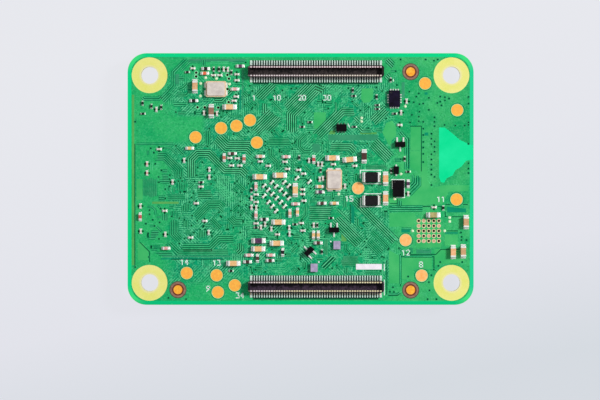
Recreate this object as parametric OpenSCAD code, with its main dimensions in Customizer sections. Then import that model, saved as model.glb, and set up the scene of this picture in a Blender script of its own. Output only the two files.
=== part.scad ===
// Compute module: a small computer on a 55 x 40 mm board that plugs into a carrier
// board through two 100-contact headers. It lies with the headers up, on the metal
// lid of its processor. Z = 0 is the face of that lid, and the origin is under the
// middle of the board. Millimetres, +Z up.

/* [Board] */
// Length of the board along X
board_l = 55; // [54.6:0.2:70]
// Width of the board along Y
board_w = 40; // [39.6:0.2:60]
// Thickness of the finished board, solder mask included
board_t = 1.2; // [0.8:0.1:2]
// Radius of the board's corners
corner_r = 3; // [1:0.25:3.5]
// Thickness of the solder mask on each side
mask_t = 0.03; // [0.02:0.01:0.06]
// Diameter of the four mounting holes
hole_d = 2.7; // [2.2:0.1:3.2]
// Distance of the mounting holes from the board's edges
hole_inset = 3.5; // [3.2:0.1:3.8]
// Diameter of the bare laminate around a mounting hole
hole_ring_d = 5.7; // [4:0.1:6]

/* [Pads and vias] */
// Diameter of a gold test pad
test_pad_d = 1.95; // [1:0.05:2.1]
// Diameter of a fiducial's gold dot
fiducial_d = 1.45; // [0.8:0.05:1.6]
// Diameter of the mask opening around a fiducial
fiducial_open_d = 2.6; // [2:0.1:3]
// Diameter of an open via's hole
via_d = 0.3; // [0.2:0.05:0.35]
// Diameter of an open via's ring
via_ring_d = 0.56; // [0.45:0.01:0.6]
// Vias along each side of the thermal grid
thermal_count = 5; // [2:1:5]
// Spacing of the thermal grid
thermal_pitch = 0.8; // [0.65:0.05:0.9]
// Diameter of a tinned dot
solder_dot_d = 0.46; // [0.3:0.02:0.5]
// Height of a tinned dot
solder_dot_h = 0.08; // [0.04:0.01:0.15]

/* [Board headers] */
// Contacts in each of a header's two rows
row_contacts = 50; // [10:1:50]
// Spacing of the contacts
contact_pitch = 0.4; // [0.36:0.01:0.4]
// Distance between the centre lines of the two headers
header_spacing = 34.2; // [33:0.1:35]
// Offset of the headers' middle from the board's middle
header_x = 2.45; // [1.5:0.05:3.5]
// Height of a header above the board
header_h = 1.12; // [0.9:0.02:1.6]
// Width of a header's housing across its two walls
housing_w = 1.9; // [1.8:0.05:2.1]
// Width of the channel between the two walls
channel_w = 1.06; // [0.9:0.02:1.15]
// Thickness of the floor under the channel
channel_floor = 0.3; // [0.2:0.05:0.5]
// Length of a housing beyond its last contact
housing_end = 1; // [0.8:0.05:1.3]
// Length of the end wall that closes the channel
end_wall = 0.35; // [0.3:0.05:0.6]
// Chamfer at a housing's four corners
housing_chamfer = 0.3; // [0.1:0.05:0.4]
// Width of a contact's tail
contact_w = 0.17; // [0.12:0.01:0.22]
// Width of a contact's crest on top of the wall
crest_w = 0.24; // [0.2:0.01:0.28]
// Thickness of the wall outside the crests
crest_inset = 0.12; // [0.06:0.01:0.16]
// Thickness of the contact strip
contact_t = 0.08; // [0.05:0.01:0.11]
// Overall width of a header across the contact tails
tail_span = 3.46; // [3.2:0.02:3.8]
// Width of a hold-down tab
tab_w = 0.36; // [0.2:0.02:0.4]
// Distance of a hold-down tab from the last contact
tab_gap = 0.5; // [0.45:0.05:0.6]

/* [Processor and memory] */
// Height of the processor above the board, solder balls included
processor_h = 2.378; // [2.1:0.02:3]
// Side of the processor's substrate
substrate_l = 15; // [14.4:0.1:15.6]
// Thickness of the processor's substrate
substrate_t = 0.78; // [0.5:0.02:0.9]
// Side of the lid's flange
lid_l = 14.2; // [13.6:0.1:14.4]
// Thickness of the lid's flange
lid_flange_t = 0.4; // [0.2:0.05:0.6]
// Width of the step between the flange and the lid's face
lid_step = 0.7; // [0.3:0.05:1]
// Radius of the lid's corners
lid_r = 1; // [0.5:0.1:2]
// Height of the processor's solder balls
processor_ball_h = 0.32; // [0.2:0.02:0.4]
// Diameter of the processor's solder balls
processor_ball_d = 0.42; // [0.3:0.02:0.5]
// Spacing of the processor's solder balls
processor_ball_pitch = 0.65; // [0.6:0.05:0.8]
// Length of the memory chip
memory_l = 14.5; // [14:0.1:15]
// Width of the memory chip
memory_w = 10; // [9:0.1:10.4]
// Thickness of the memory chip
memory_t = 0.72; // [0.5:0.02:1.2]
// Length of the flash chip
flash_l = 13; // [12.6:0.1:13.2]
// Width of the flash chip
flash_w = 11.5; // [11:0.1:11.7]
// Thickness of the flash chip
flash_t = 0.8; // [0.5:0.02:1.2]
// Height of the memory's and flash's solder balls
small_ball_h = 0.22; // [0.15:0.01:0.3]
// Diameter of the memory's and flash's solder balls
small_ball_d = 0.3; // [0.2:0.01:0.4]
// Spacing of the memory's and flash's solder balls
small_ball_pitch = 0.8; // [0.65:0.05:1]

/* [Flat chips] */
// Height of the flat chips
flat_h = 0.55; // [0.4:0.05:0.9]
// Reach of a solder land beyond its chip
land_out = 0.24; // [0.1:0.02:0.3]
// Height of the solder on a land
land_h = 0.14; // [0.05:0.01:0.2]
// Length of the switch chip
switch_l = 2.6; // [2.2:0.1:2.7]
// Width of the switch chip
switch_w = 1.8; // [1.7:0.1:1.9]
// Side of the network chip
network_l = 7; // [6:0.1:7.4]
// Side of the power chip
power_l = 5; // [4:0.1:5.2]
// Side of the radio chip
radio_l = 5; // [4:0.1:6]
// Height of the network, power and radio chips
tall_h = 0.85; // [0.6:0.05:1.1]
// Lands along each side of the switch chip
switch_lands = 4; // [2:1:4]
// Spacing of the switch chip's lands
switch_pitch = 0.4; // [0.36:0.02:0.42]
// Lands along each side of the network chip
network_lands = 12; // [4:1:12]
// Spacing of the network chip's lands
network_pitch = 0.5; // [0.45:0.05:0.55]
// Lands along each side of the power chip
power_lands = 10; // [4:1:10]
// Spacing of the power chip's lands
power_pitch = 0.4; // [0.35:0.05:0.45]
// Lands along each side of the logic chip
logic_lands = 3; // [2:1:3]
// Spacing of the logic chip's lands
logic_pitch = 0.5; // [0.4:0.05:0.55]
// Width of a land
land_w = 0.2; // [0.15:0.01:0.25]

/* [Shield can] */
// Length of the can over the radio
can_l = 12; // [10:0.1:12.4]
// Width of the can over the radio
can_w = 9.6; // [8:0.1:9.8]
// Height of the can
can_h = 1.5; // [1.2:0.05:2]
// Thickness of the can's sheet
can_t = 0.15; // [0.1:0.01:0.25]
// Radius of the can's corners
can_r = 0.6; // [0.3:0.05:1.2]
// Diameter of the can's vent holes
can_vent_d = 0.7; // [0.3:0.05:0.9]

/* [Chip parts] */
// Length of a large chip part
large_l = 1.65; // [1.5:0.05:1.75]
// Width of a large chip part
large_w = 0.85; // [0.7:0.05:0.95]
// Height of a large chip part
large_h = 0.8; // [0.5:0.05:1]
// Length of a large part's end cap
large_cap = 0.3; // [0.2:0.02:0.4]
// Reach of the solder beyond a large part
large_fillet = 0.3; // [0.1:0.02:0.34]
// Length of a medium chip part
medium_l = 1; // [0.9:0.05:1.1]
// Width of a medium chip part
medium_w = 0.5; // [0.4:0.02:0.56]
// Height of a medium chip part
medium_h = 0.48; // [0.3:0.02:0.6]
// Length of a medium part's end cap
medium_cap = 0.2; // [0.15:0.01:0.3]
// Reach of the solder beyond a medium part
medium_fillet = 0.2; // [0.08:0.02:0.22]
// Length of a small chip part
small_l = 0.6; // [0.5:0.02:0.64]
// Width of a small chip part
small_w = 0.32; // [0.25:0.01:0.36]
// Height of a small chip part
small_h = 0.28; // [0.2:0.02:0.36]
// Length of a small part's end cap
small_cap = 0.15; // [0.1:0.01:0.2]
// Reach of the solder beyond a small part
small_fillet = 0.12; // [0.05:0.01:0.14]

/* [Small packages] */
// Length of the logic chip
logic_l = 1.65; // [1.4:0.05:1.8]
// Width of the logic chip
logic_w = 1.1; // [0.9:0.05:1.2]
// Length of the regulator
regulator_l = 2.65; // [2.3:0.05:2.7]
// Width of the regulator
regulator_w = 1.8; // [1.6:0.05:1.85]
// Length of a transistor's body
transistor_l = 1.65; // [1.5:0.05:1.8]
// Width of a transistor's body
transistor_w = 0.8; // [0.7:0.05:0.9]
// Height of a transistor
transistor_h = 0.7; // [0.5:0.05:0.9]
// Spacing of a transistor's paired leads
lead_pitch = 1; // [0.8:0.05:1.1]
// Width of a lead
lead_w = 0.24; // [0.18:0.01:0.3]
// Thickness of a lead
lead_t = 0.12; // [0.08:0.01:0.16]
// Reach of a transistor's lead beyond its body
lead_reach = 0.72; // [0.4:0.02:0.8]
// Length of the diode's body
diode_l = 1.25; // [1:0.05:1.3]
// Width of the diode's body
diode_w = 0.85; // [0.7:0.05:0.9]
// Height of the diode
diode_h = 0.6; // [0.4:0.05:0.8]
// Reach of the diode's leads beyond its body
diode_reach = 0.28; // [0.15:0.01:0.3]
// Length of a bare chip
die_l = 1.1; // [0.9:0.05:1.2]
// Width of a bare chip
die_w = 1.3; // [1.1:0.05:1.4]
// Height of a bare chip
die_h = 0.5; // [0.3:0.05:0.6]

/* [Crystals and inductors] */
// Length of a crystal
crystal_l = 3.2; // [2.8:0.1:3.4]
// Width of a crystal
crystal_w = 2.5; // [2:0.1:2.6]
// Height of a crystal
crystal_h = 0.75; // [0.6:0.05:1]
// Thickness of a crystal's metal lid
crystal_lid_t = 0.2; // [0.1:0.05:0.3]
// Width of the ceramic rim around the lid
crystal_rim = 0.2; // [0.1:0.05:0.3]
// Length of an inductor between its two ends
inductor_l = 2.5; // [2.3:0.05:2.6]
// Width of an inductor
inductor_w = 1.65; // [1.4:0.05:1.8]
// Height of an inductor
inductor_h = 1; // [0.8:0.05:1.1]
// Length of an inductor's end cap
inductor_cap = 0.2; // [0.14:0.02:0.4]
// Reach of the solder beyond an inductor
inductor_fillet = 0.2; // [0.1:0.02:0.22]
// Radius of an inductor's corners
inductor_r = 0.32; // [0.1:0.02:0.4]
// Width and height of the step around an inductor's top
inductor_edge = 0.1; // [0.04:0.02:0.16]

/* [Antenna socket] */
// Side of the antenna socket's base
socket_l = 2.6; // [2.4:0.1:3]
// Thickness of the antenna socket's base
socket_base_t = 0.35; // [0.25:0.05:0.5]
// Diameter of the antenna socket's ring
socket_d = 2; // [1.8:0.05:2.2]
// Height of the antenna socket
socket_h = 1.25; // [1:0.05:1.6]
// Thickness of the antenna socket's ring
socket_wall = 0.14; // [0.1:0.02:0.25]
// Diameter of the antenna socket's pin
socket_pin_d = 0.5; // [0.3:0.05:0.6]

/* [Status lamps] */
// Distance of the two status lamps from the board's short edge
led_edge = 2.2; // [1.8:0.1:2.6]
// Spacing of the status lamps
led_pitch = 3.2; // [2.8:0.1:3.4]
// Distance of the pair of status lamps above the board's middle
led_y = 9; // [8.5:0.1:9.5]

/* [Hidden] */
$fn = 48;

// Heights of the layers above the processor's lid face
back_z = processor_h;
top_z = back_z + board_t;
core_t = board_t - 2 * mask_t;

hole_x = board_l / 2 - hole_inset;
hole_y = board_w / 2 - hole_inset;
header_y = header_spacing / 2;
row_l = (row_contacts - 1) * contact_pitch;
housing_l = row_l + 2 * housing_end;

processor_at = [-4.1, -1.7];
memory_at = [-18, -1.7];
flash_at = [-3.5, 13];
network_at = [-16.2, 12.7];
power_at = [10.6, 2];
radio_at = [20.2, -8.3];
socket_at = [18.4, 1.4];
thermal_at = [20.38, -8.25];
switch_at = [14.92, 12.78];
logic_at = [6.5, 8.15];
regulator_at = [15.55, -1.5];
diode_at = [15.2, 1.4];

test_pad_spots = [[19.8, 15.2], [24.9, 10.95], [-16.7, 6.65], [-12.65, 8.1],
    [-10.2, 8.45], [-8.05, 9.35], [-6.95, 5.8], [9.15, -1.45], [24.8, -3.25],
    [16.7, -9.7], [19.25, -15.35], [-18.1, -14.95], [-13.35, -15.3],
    [-13.15, -18], [-10.45, -16.9]];
fiducial_spots = [[17.5, 17.05], [-19.5, -17.6], [17.5, -17.65]];
loose_via_spots = [[-16.6, 16.9], [-16.6, 16.3], [-16.4, 11.4], [-15.25, 11.4],
    [-13.12, 11.35], [-11.65, 16.55], [-11.4, 15.95], [-11.6, 14.3], [-11.44, 12.22]];
solder_dot_spots = [[-15.1, 16.1], [-15.9, 15.2], [-15.95, 13.2], [-13.4, 15.95],
    [-11.3, 15.1], [16.65, 11.55], [15.95, 0.8], [6.05, -2.4], [9.7, 9.7],
    [9.7, 9.15], [23.7, -6.15], [23.7, -6.75], [17.8, -8.25], [22.9, -8.25],
    [14.95, -3.15]];

// Tables of chip parts: X, Y and turn in degrees, read off the board
large_spots = [[-16.8, 14.75, 90], [-14.2, 10.8, 90], [13.5, 0.05, 90],
    [13.5, -3.05, 90], [-0.85, -1.75, 90], [26.3, -6.85, 90], [24.25, -11.6, 90],
    [25.85, -11.5, 90], [-11.3, 11.45, 0], [-6.5, 0.35, 0], [-3.3, 0.6, 0],
    [5.05, 3.35, 0], [7.8, 3.1, 5], [-3.55, -6.85, 0], [-3.8, -10.2, 0],
    [-6.75, -11.1, 0], [-10.7, -13.4, 0], [21.1, -5.72, 0], [10.1, 3.6, 90],
    [-6.7, -9.8, 0]];
medium_spots = [[-17, 12.45, 0], [-15.1, 17.55, 0], [-15.25, 16.8, 0],
    [-9.6, 17.95, 0], [-10.45, 14.3, 0], [-17.65, 4.9, 0], [-10.85, 4.05, 0],
    [-6.4, 3.6, 0], [-2.3, 3.55, 0], [-0.8, -3.95, 0], [3.05, -1.2, 0],
    [3.1, -2.05, 0], [3.4, -3.85, 0], [5.35, -3.85, 0], [-5.8, -6.4, 0],
    [-8.2, -12.1, 0], [-8.45, -13.15, 0], [-4.75, -12.1, 0], [-4.85, -12.95, 0],
    [-21.4, -11, 0], [2.8, -10.15, 0], [-12.15, 3.4, 90], [-9, 3.2, 90],
    [2.1, 3.1, 90], [-7.1, -1.2, 90], [-7.1, -5.75, 90], [-1.7, -5.45, 90],
    [-0.5, -5.25, 90], [2.05, -8.9, 90], [2.8, -8.9, 90], [-25.5, -6, 90],
    [17.1, -0.75, 90], [-6.85, -12.6, 90], [-2.85, -11.65, 90]];
resistor_spots = [[-25.1, 12.05, 90], [-23.7, 11.55, 90], [-22.15, 11.4, 90],
    [-13.8, 17.45, 90], [-12.95, 17.45, 90], [-11, 16.93, 90], [8.3, 14.1, 90],
    [12.1, 13.05, 90], [14.35, 15.75, 90], [-0.2, 3.4, 90], [16.55, 3.2, 90],
    [14.4, 1.3, 90], [-7.8, -1.8, 90], [22.7, -4.6, 90], [3.4, -11.55, 90],
    [2.65, -7.35, 90], [3.2, 1.4, 90], [-25.05, 10.4, 0], [-18, 17, 0],
    [8.45, 13.2, 0], [12.2, 11.75, 0], [12.2, 11.15, 0], [14.95, 10.4, 0],
    [1.5, 9.05, 0], [0.25, 8.3, 0], [8.55, 8.3, 0], [17.1, 1.17, 0],
    [-15.8, -0.5, 0], [-7.05, -7.7, 0], [-0.9, -7.2, 0], [4.85, -6.2, 0],
    [-11.05, -14.6, 0]];
small_spots = [[-22.9, 11.05, 90], [-12.2, 17.45, 90], [-11.55, 17.4, 90],
    [-15.35, 10.5, 90], [-13.3, 10.4, 90], [15.97, 10.55, 90], [-24.4, 2.4, 90],
    [-24.4, 0.95, 90], [-18.5, 2.95, 90], [-14.5, 1.5, 90], [-14.5, 0.3, 90],
    [1.35, 2.95, 90], [2.8, 2.35, 90], [3.4, 2.35, 90], [-20.35, -0.5, 90],
    [-25.45, -4.3, 90], [-25.4, -8.3, 90], [-14.6, -8.5, 90], [-21.5, -8.8, 90],
    [-7.8, -3.05, 90], [-7.8, -4.5, 90], [-7.05, -4.55, 90], [-6.3, -7.7, 90],
    [-5.65, -7.2, 90], [-1.8, -7.75, 90], [-1.75, -8.75, 90], [-4.65, -7.9, 90],
    [7.05, -1.15, 90], [17.1, -2.35, 90], [2.1, -7.35, 90], [16.85, 12.35, 90],
    [3.05, -0.05, 90], [3.55, 0.1, 90], [-17.15, 17.6, 0], [-12.85, 16.5, 0],
    [-13.85, 16.5, 0], [-10.15, 16.65, 0], [-10.15, 15.7, 0], [-10.25, 13.1, 0],
    [-10.6, 12.45, 0], [-22.5, 4.75, 0], [-11.3, 3.35, 0], [-10.1, 3.3, 0],
    [-11, 2.15, 0], [-9.7, 2.15, 0], [-6.4, 2.8, 0], [-5.15, 2.1, 0],
    [-2.5, 2.75, 0], [-2.1, 1.6, 0], [-0.35, 1.45, 0], [0.45, 0.85, 0],
    [5.2, 2.35, 0], [8.6, 2.1, 0], [15.75, 8.6, 0], [-15.85, -1.2, 0],
    [-16.6, -3.85, 0], [-21.6, -5.05, 0], [-15.25, -6.65, 0], [-17.5, -9.3, 0],
    [-7.1, -2.45, 0], [-7.1, -3.65, 0], [-7.1, -7.05, 0], [-3.7, -8.8, 0],
    [0.3, -1.65, 0], [0.3, -2.4, 0], [0.5, -3.45, 0], [0.1, -7, 0],
    [0.35, -8.2, 0], [21.2, -4.5, 0], [-0.6, 0.1, 45], [1.4, -0.45, 45]];
// Decoupling capacitors on the diagonals under the processor
diagonal_spots = [[-4.55, -0.55], [-2.6, -0.55], [-5.8, -1.1], [-3.9, -1.2],
    [-1.9, -1.1], [-5.15, -1.75], [-3.15, -1.75], [-4.5, -2.4], [-2.5, -2.4],
    [-5.8, -2.7], [-3.8, -3.05], [-1.85, -3.05], [-5.1, -3.7], [-3.15, -3.7],
    [-4.5, -4.35], [-2.55, -4.35], [-3.9, -5.1]];
die_spots = [[5.78, -10.5, 0], [2.15, -14.1, 0]];
crystal_spots = [[-13.45, 14.3, 0], [5.33, -0.1, 90]];
inductor_spots = [[11.25, 0.28, 0], [11.25, -3.42, 0]];
transistor_spots = [[15.85, 5.5, 0], [5.32, -8.08, 0], [1.35, -11.5, 225]];

// The component side, in the same X and Y as the connector side
back_inductor_spots = [[8.6, 7.2, 0], [12.6, 7.2, 0], [16.6, 8.2, 90],
    [8.6, -3.4, 0], [12.2, -3.4, 0]];
back_large_spots = [[7, 4.6, 90], [14.6, 3.9, 90], [6.7, -0.6, 90],
    [14.6, 0.2, 90], [8.6, 9.4, 0], [12.6, 9.4, 0], [8.6, -5.7, 0],
    [12.2, -5.7, 0]];
led_x = led_edge - board_l / 2;
led_spots = [[led_x, led_y + led_pitch / 2, 90], [led_x, led_y - led_pitch / 2, 90]];
// Rows of chip parts there: X and Y of the first, steps in X and Y, count and turn
back_rows = [[-12.3, -6, 0, 1.7, 5, 90], [-9, 6.6, 1.5, 0, 7, 90],
    [-9, -10.2, 1.5, 0, 7, 90], [4.6, -7, 0, 1.5, 4, 0], [-24.2, -7, 0, 1.5, 7, 0],
    [-20.6, 7.2, 1.5, 0, 4, 90], [5, 12, 1.5, 0, 5, 90], [-11.4, 10.2, 0, 1.5, 5, 0],
    [14.6, 12.6, 1.5, 0, 4, 90], [-21, -12, 1.5, 0, 4, 90], [-6, -13, 1.5, 0, 6, 90],
    [7, -10, 1.5, 0, 4, 90]];

// Sizes of the chip parts: length, width, height, end cap, solder reach
large_size = [large_l, large_w, large_h, large_cap, large_fillet];
medium_size = [medium_l, medium_w, medium_h, medium_cap, medium_fillet];
small_size = [small_l, small_w, small_h, small_cap, small_fillet];
inductor_size = [inductor_l, inductor_w, inductor_h, inductor_cap, inductor_fillet];

// Shared shapes

module on_top() {
    translate([0, 0, top_z]) children();
}

module on_back() {
    translate([0, 0, back_z]) mirror([0, 0, 1]) children();
}

module place(spots) {
    for (s = spots) {
        translate([s[0], s[1], 0]) rotate(len(s) > 2 ? s[2] : 0) children();
    }
}

module mirror_pair(axis) {
    children();
    mirror(axis) children();
}

module rounded_outline(l, w, r) {
    square([l - 2 * r, w], center = true);
    square([l, w - 2 * r], center = true);
    for (x = [-1, 1], y = [-1, 1]) {
        translate([x * (l / 2 - r), y * (w / 2 - r)]) circle(r);
    }
}

module rounded_plate(l, w, r, h) {
    linear_extrude(h) rounded_outline(l, w, r);
}

module disc(d, h) {
    cylinder(d = d, h = h);
}

// A strip seen from its side, set to a width along Y
module strip(points, width) {
    rotate([90, 0, 0]) linear_extrude(width, center = true) polygon(points);
}

module chip_body(size) {
    inner = size[0] - 2 * size[3];
    translate([-inner / 2, -size[1] / 2, 0]) cube([inner, size[1], size[2]]);
}

// An end cap with its solder, which climbs most of the way up the end
module chip_ends(size) {
    half = size[0] / 2;
    reach = size[4];
    mirror_pair([1, 0, 0]) {
        strip([[half - size[3], 0], [half + reach, 0], [half + reach * 0.45, size[2] * 0.2],
            [half, size[2] * 0.7], [half, size[2]], [half - size[3], size[2]]], size[1]);
    }
}

module flat_chip(l, w, h) {
    bevel = h / 6;
    linear_extrude(h) polygon([[-l / 2, -w / 2], [l / 2, -w / 2], [l / 2, w / 2],
        [-l / 2 + bevel, w / 2], [-l / 2, w / 2 - bevel]]);
}

// Solder lands outside the four sides of a flat chip
module flat_chip_lands(l, w, along_l, along_w, pitch) {
    mirror_pair([0, 1, 0]) {
        for (i = [0 : along_l - 1]) {
            translate([(i - (along_l - 1) / 2) * pitch - land_w / 2, w / 2, 0])
                cube([land_w, land_out, land_h]);
        }
    }
    mirror_pair([1, 0, 0]) {
        for (i = [0 : along_w - 1]) {
            translate([l / 2, (i - (along_w - 1) / 2) * pitch - land_w / 2, 0])
                cube([land_out, land_w, land_h]);
        }
    }
}

// The outer ring of a chip's grid of solder balls, which is what shows from the side
module ball_ring(l, w, pitch, d, h) {
    nx = floor((l - d) / pitch);
    ny = floor((w - d) / pitch);
    for (i = [0 : nx], j = [0 : ny]) {
        if (i == 0 || i == nx || j == 0 || j == ny) {
            translate([(i - nx / 2) * pitch, (j - ny / 2) * pitch, 0]) disc(d, h);
        }
    }
}

// The board

module board_holes(d) {
    for (x = [-1, 1], y = [-1, 1]) {
        translate([x * hole_x, y * hole_y]) circle(d = d);
    }
}

module via_pattern(d) {
    half = (thermal_count - 1) / 2;
    for (i = [-half : half], j = [-half : half]) {
        translate([thermal_at[0] + i * thermal_pitch, thermal_at[1] + j * thermal_pitch])
            circle(d = d, $fn = 24);
    }
    for (s = loose_via_spots) {
        translate(s) circle(d = d, $fn = 24);
    }
}

module circuit_board() {
    color("#dedd7a") translate([0, 0, back_z + mask_t]) linear_extrude(core_t) difference() {
        rounded_outline(board_l, board_w, corner_r);
        board_holes(hole_d);
        via_pattern(via_d);
    }
}

module connector_side_mask() {
    color("#2f9e63") translate([0, 0, top_z - mask_t]) linear_extrude(mask_t) difference() {
        rounded_outline(board_l, board_w, corner_r);
        board_holes(hole_ring_d);
        via_pattern(via_ring_d);
        for (s = test_pad_spots) {
            translate(s) circle(d = test_pad_d);
        }
        for (s = fiducial_spots) {
            translate(s) circle(d = fiducial_open_d);
        }
    }
}

module component_side_mask() {
    color("#2f9e63") translate([0, 0, back_z]) linear_extrude(mask_t) difference() {
        rounded_outline(board_l, board_w, corner_r);
        board_holes(hole_ring_d);
        via_pattern(via_d);
    }
}

module test_pads() {
    color("#c9872f") translate([0, 0, top_z - mask_t]) place(test_pad_spots) {
        disc(test_pad_d, mask_t);
    }
}

module fiducial_pads() {
    color("#d9a23a") translate([0, 0, top_z - mask_t]) place(fiducial_spots) {
        disc(fiducial_d, mask_t);
    }
}

module via_rings() {
    color("#b9b06a") translate([0, 0, top_z - mask_t]) linear_extrude(mask_t) difference() {
        via_pattern(via_ring_d);
        via_pattern(via_d);
    }
}

module solder_dots() {
    color("#eef3f0") on_top() place(solder_dot_spots) {
        cylinder(d1 = solder_dot_d, d2 = solder_dot_d * 0.6, h = solder_dot_h);
    }
}

// The two headers

// A contact from the side: the tail runs under the wall and rises inside it, and the
// crest folds over the wall's top and drops into the channel
module contact(tail_w, top_w) {
    outer = housing_w / 2 - crest_inset;
    inner = channel_w / 2;
    shoulder = header_h - contact_t * 3;
    strip([[outer - contact_t, 0], [tail_span / 2, 0], [tail_span / 2, contact_t * 1.2],
        [outer, contact_t * 1.2], [outer, shoulder], [outer - contact_t, shoulder]], tail_w);
    strip([[outer, shoulder], [outer, header_h - contact_t], [outer - contact_t * 0.6, header_h],
        [inner + contact_t * 0.6, header_h], [inner, header_h - contact_t],
        [inner, channel_floor + contact_t], [inner + contact_t, channel_floor + contact_t],
        [inner + contact_t, header_h - contact_t * 2], [outer - contact_t, header_h - contact_t * 2],
        [outer - contact_t, shoulder]], top_w);
}

module contact_rows() {
    mirror_pair([0, 1, 0]) {
        for (i = [0 : row_contacts - 1]) {
            translate([i * contact_pitch - row_l / 2, 0, 0]) rotate(90) contact(contact_w, crest_w);
        }
    }
}

module housing_outline() {
    half = housing_l / 2;
    side = housing_w / 2;
    c = housing_chamfer;
    polygon([[-half + c, -side], [half - c, -side], [half, -side + c], [half, side - c],
        [half - c, side], [-half + c, side], [-half, side - c], [-half, -side + c]]);
}

// Tabs wrap over the walls like the contacts, beyond the last one of each row
module tab_pairs() {
    mirror_pair([0, 1, 0]) mirror_pair([1, 0, 0]) {
        translate([row_l / 2 + tab_gap, 0, 0]) rotate(90) contact(tab_w, crest_w);
    }
}

module header_tabs() {
    color("#f2f5f3") tab_pairs();
}

module header_housing() {
    color("#1b1a1c") difference() {
        linear_extrude(header_h) housing_outline();
        translate([-housing_l / 2 + end_wall, -channel_w / 2, channel_floor])
            cube([housing_l - 2 * end_wall, channel_w, header_h]);
        contact_rows();
        tab_pairs();
    }
}

module header_contacts() {
    color("#d8d3cf") contact_rows();
}

module at_header(side) {
    on_top() translate([header_x, side * header_y, 0]) children();
}

// Chips on the connector side

module switch_chip() {
    color("#131217") on_top() translate(switch_at) rotate(90) flat_chip(switch_l, switch_w, flat_h);
}

module switch_chip_lands() {
    color("#cfd8d2") on_top() translate(switch_at) rotate(90)
        flat_chip_lands(switch_l, switch_w, switch_lands, switch_lands, switch_pitch);
}

module logic_chip() {
    color("#151515") on_top() translate(logic_at) flat_chip(logic_l, logic_w, flat_h);
}

module logic_chip_lands() {
    color("#cfd8d2") on_top() translate(logic_at)
        flat_chip_lands(logic_l, logic_w, logic_lands, 0, logic_pitch);
}

module regulator() {
    color("#151417") on_top() translate(regulator_at) rotate(90)
        flat_chip(regulator_l, regulator_w, flat_h);
}

// A moulded package from its side, with drafted ends
module moulded_body(l, w, h) {
    draft = h * 0.12;
    strip([[-l / 2 + draft, 0], [l / 2 - draft, 0], [l / 2, h / 2], [l / 2 - draft, h],
        [-l / 2 + draft, h], [-l / 2, h / 2]], w);
}

// A lead that leaves a body's side at mid height and bends down to its foot, along +X
module gull_lead(reach, h) {
    strip([[0, h / 2 - lead_t], [reach * 0.15, h / 2 - lead_t], [reach * 0.3, 0], [reach, 0],
        [reach, lead_t], [reach * 0.3 + lead_t, lead_t], [reach * 0.15 + lead_t, h / 2],
        [0, h / 2]], lead_w);
}

module transistor_bodies() {
    color("#17161a") on_top() place(transistor_spots) {
        moulded_body(transistor_l, transistor_w, transistor_h);
    }
}

module transistor_leads() {
    color("#dfe6e2") on_top() place(transistor_spots) {
        for (x = [-lead_pitch / 2, lead_pitch / 2]) {
            translate([x, transistor_w / 2, 0]) rotate(90) gull_lead(lead_reach, transistor_h);
        }
        translate([0, -transistor_w / 2, 0]) rotate(-90) gull_lead(lead_reach, transistor_h);
    }
}

module diode_body() {
    color("#120f12") on_top() translate(diode_at) rotate(90) moulded_body(diode_l, diode_w, diode_h);
}

module diode_leads() {
    color("#dfe6e2") on_top() translate(diode_at) rotate(90) mirror_pair([1, 0, 0]) {
        translate([diode_l / 2, 0, 0]) gull_lead(diode_reach, diode_h);
    }
}

module bare_chips() {
    color("#9a95a3") on_top() place(die_spots) rounded_plate(die_l, die_w, die_h / 8, die_h);
}

module crystal_bases() {
    color("#d8b48a") on_top() place(crystal_spots) {
        rounded_plate(crystal_l, crystal_w, 0.2, crystal_h - crystal_lid_t);
    }
}

module crystal_lids() {
    color("#d9d3c6") on_top() place(crystal_spots) translate([0, 0, crystal_h - crystal_lid_t])
        rounded_plate(crystal_l - 2 * crystal_rim, crystal_w - 2 * crystal_rim, 0.3, crystal_lid_t);
}

module crystal_lands() {
    color("#dfe9e4") on_top() place(crystal_spots) for (x = [-1, 1], y = [-1, 1]) {
        translate([x > 0 ? crystal_l / 2 : -crystal_l / 2 - land_out, y * crystal_w / 4 - 0.4, 0])
            cube([land_out, 0.8, land_h]);
    }
}

// A core with round corners and a step around its top, between its two ends
module inductor_core() {
    inner = inductor_l - 2 * inductor_cap;
    step = 2 * inductor_edge;
    rounded_plate(inner, inductor_w, inductor_r, inductor_h - inductor_edge);
    rounded_plate(inner - step, inductor_w - step, inductor_r * 0.75, inductor_h);
}

module inductor_cores() {
    color("#1c1b1d") on_top() place(inductor_spots) inductor_core();
}

module inductor_ends() {
    color("#e9edeb") on_top() place(inductor_spots) chip_ends(inductor_size);
}

// Chip parts on the connector side

module large_chip_bodies() {
    color("#c49a6c") on_top() place(large_spots) chip_body(large_size);
}

module large_chip_ends() {
    color("#e9edeb") on_top() place(large_spots) chip_ends(large_size);
}

module medium_chip_bodies() {
    color("#b98a7c") on_top() place(medium_spots) chip_body(medium_size);
}

module medium_chip_ends() {
    color("#e9edeb") on_top() place(medium_spots) chip_ends(medium_size);
}

module small_capacitors() {
    on_top() {
        place(small_spots) children();
        place([for (s = diagonal_spots) [s[0], s[1], 45]]) children();
    }
}

module small_capacitor_bodies() {
    color("#b9a79a") small_capacitors() chip_body(small_size);
}

module small_capacitor_ends() {
    color("#e9edeb") small_capacitors() chip_ends(small_size);
}

module resistor_bodies() {
    color("#0e0d0d") on_top() place(resistor_spots) chip_body(small_size);
}

module resistor_ends() {
    color("#e9edeb") on_top() place(resistor_spots) chip_ends(small_size);
}

// The component side

module at_processor() {
    translate([processor_at[0], processor_at[1], 0]) children();
}

module processor_lid() {
    lid_top = processor_h - processor_ball_h - substrate_t;
    color("#c9ccce") at_processor() {
        rounded_plate(lid_l - 2 * lid_step, lid_l - 2 * lid_step, lid_r, lid_top);
        translate([0, 0, lid_top - lid_flange_t]) rounded_plate(lid_l, lid_l, lid_r, lid_flange_t);
    }
}

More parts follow.
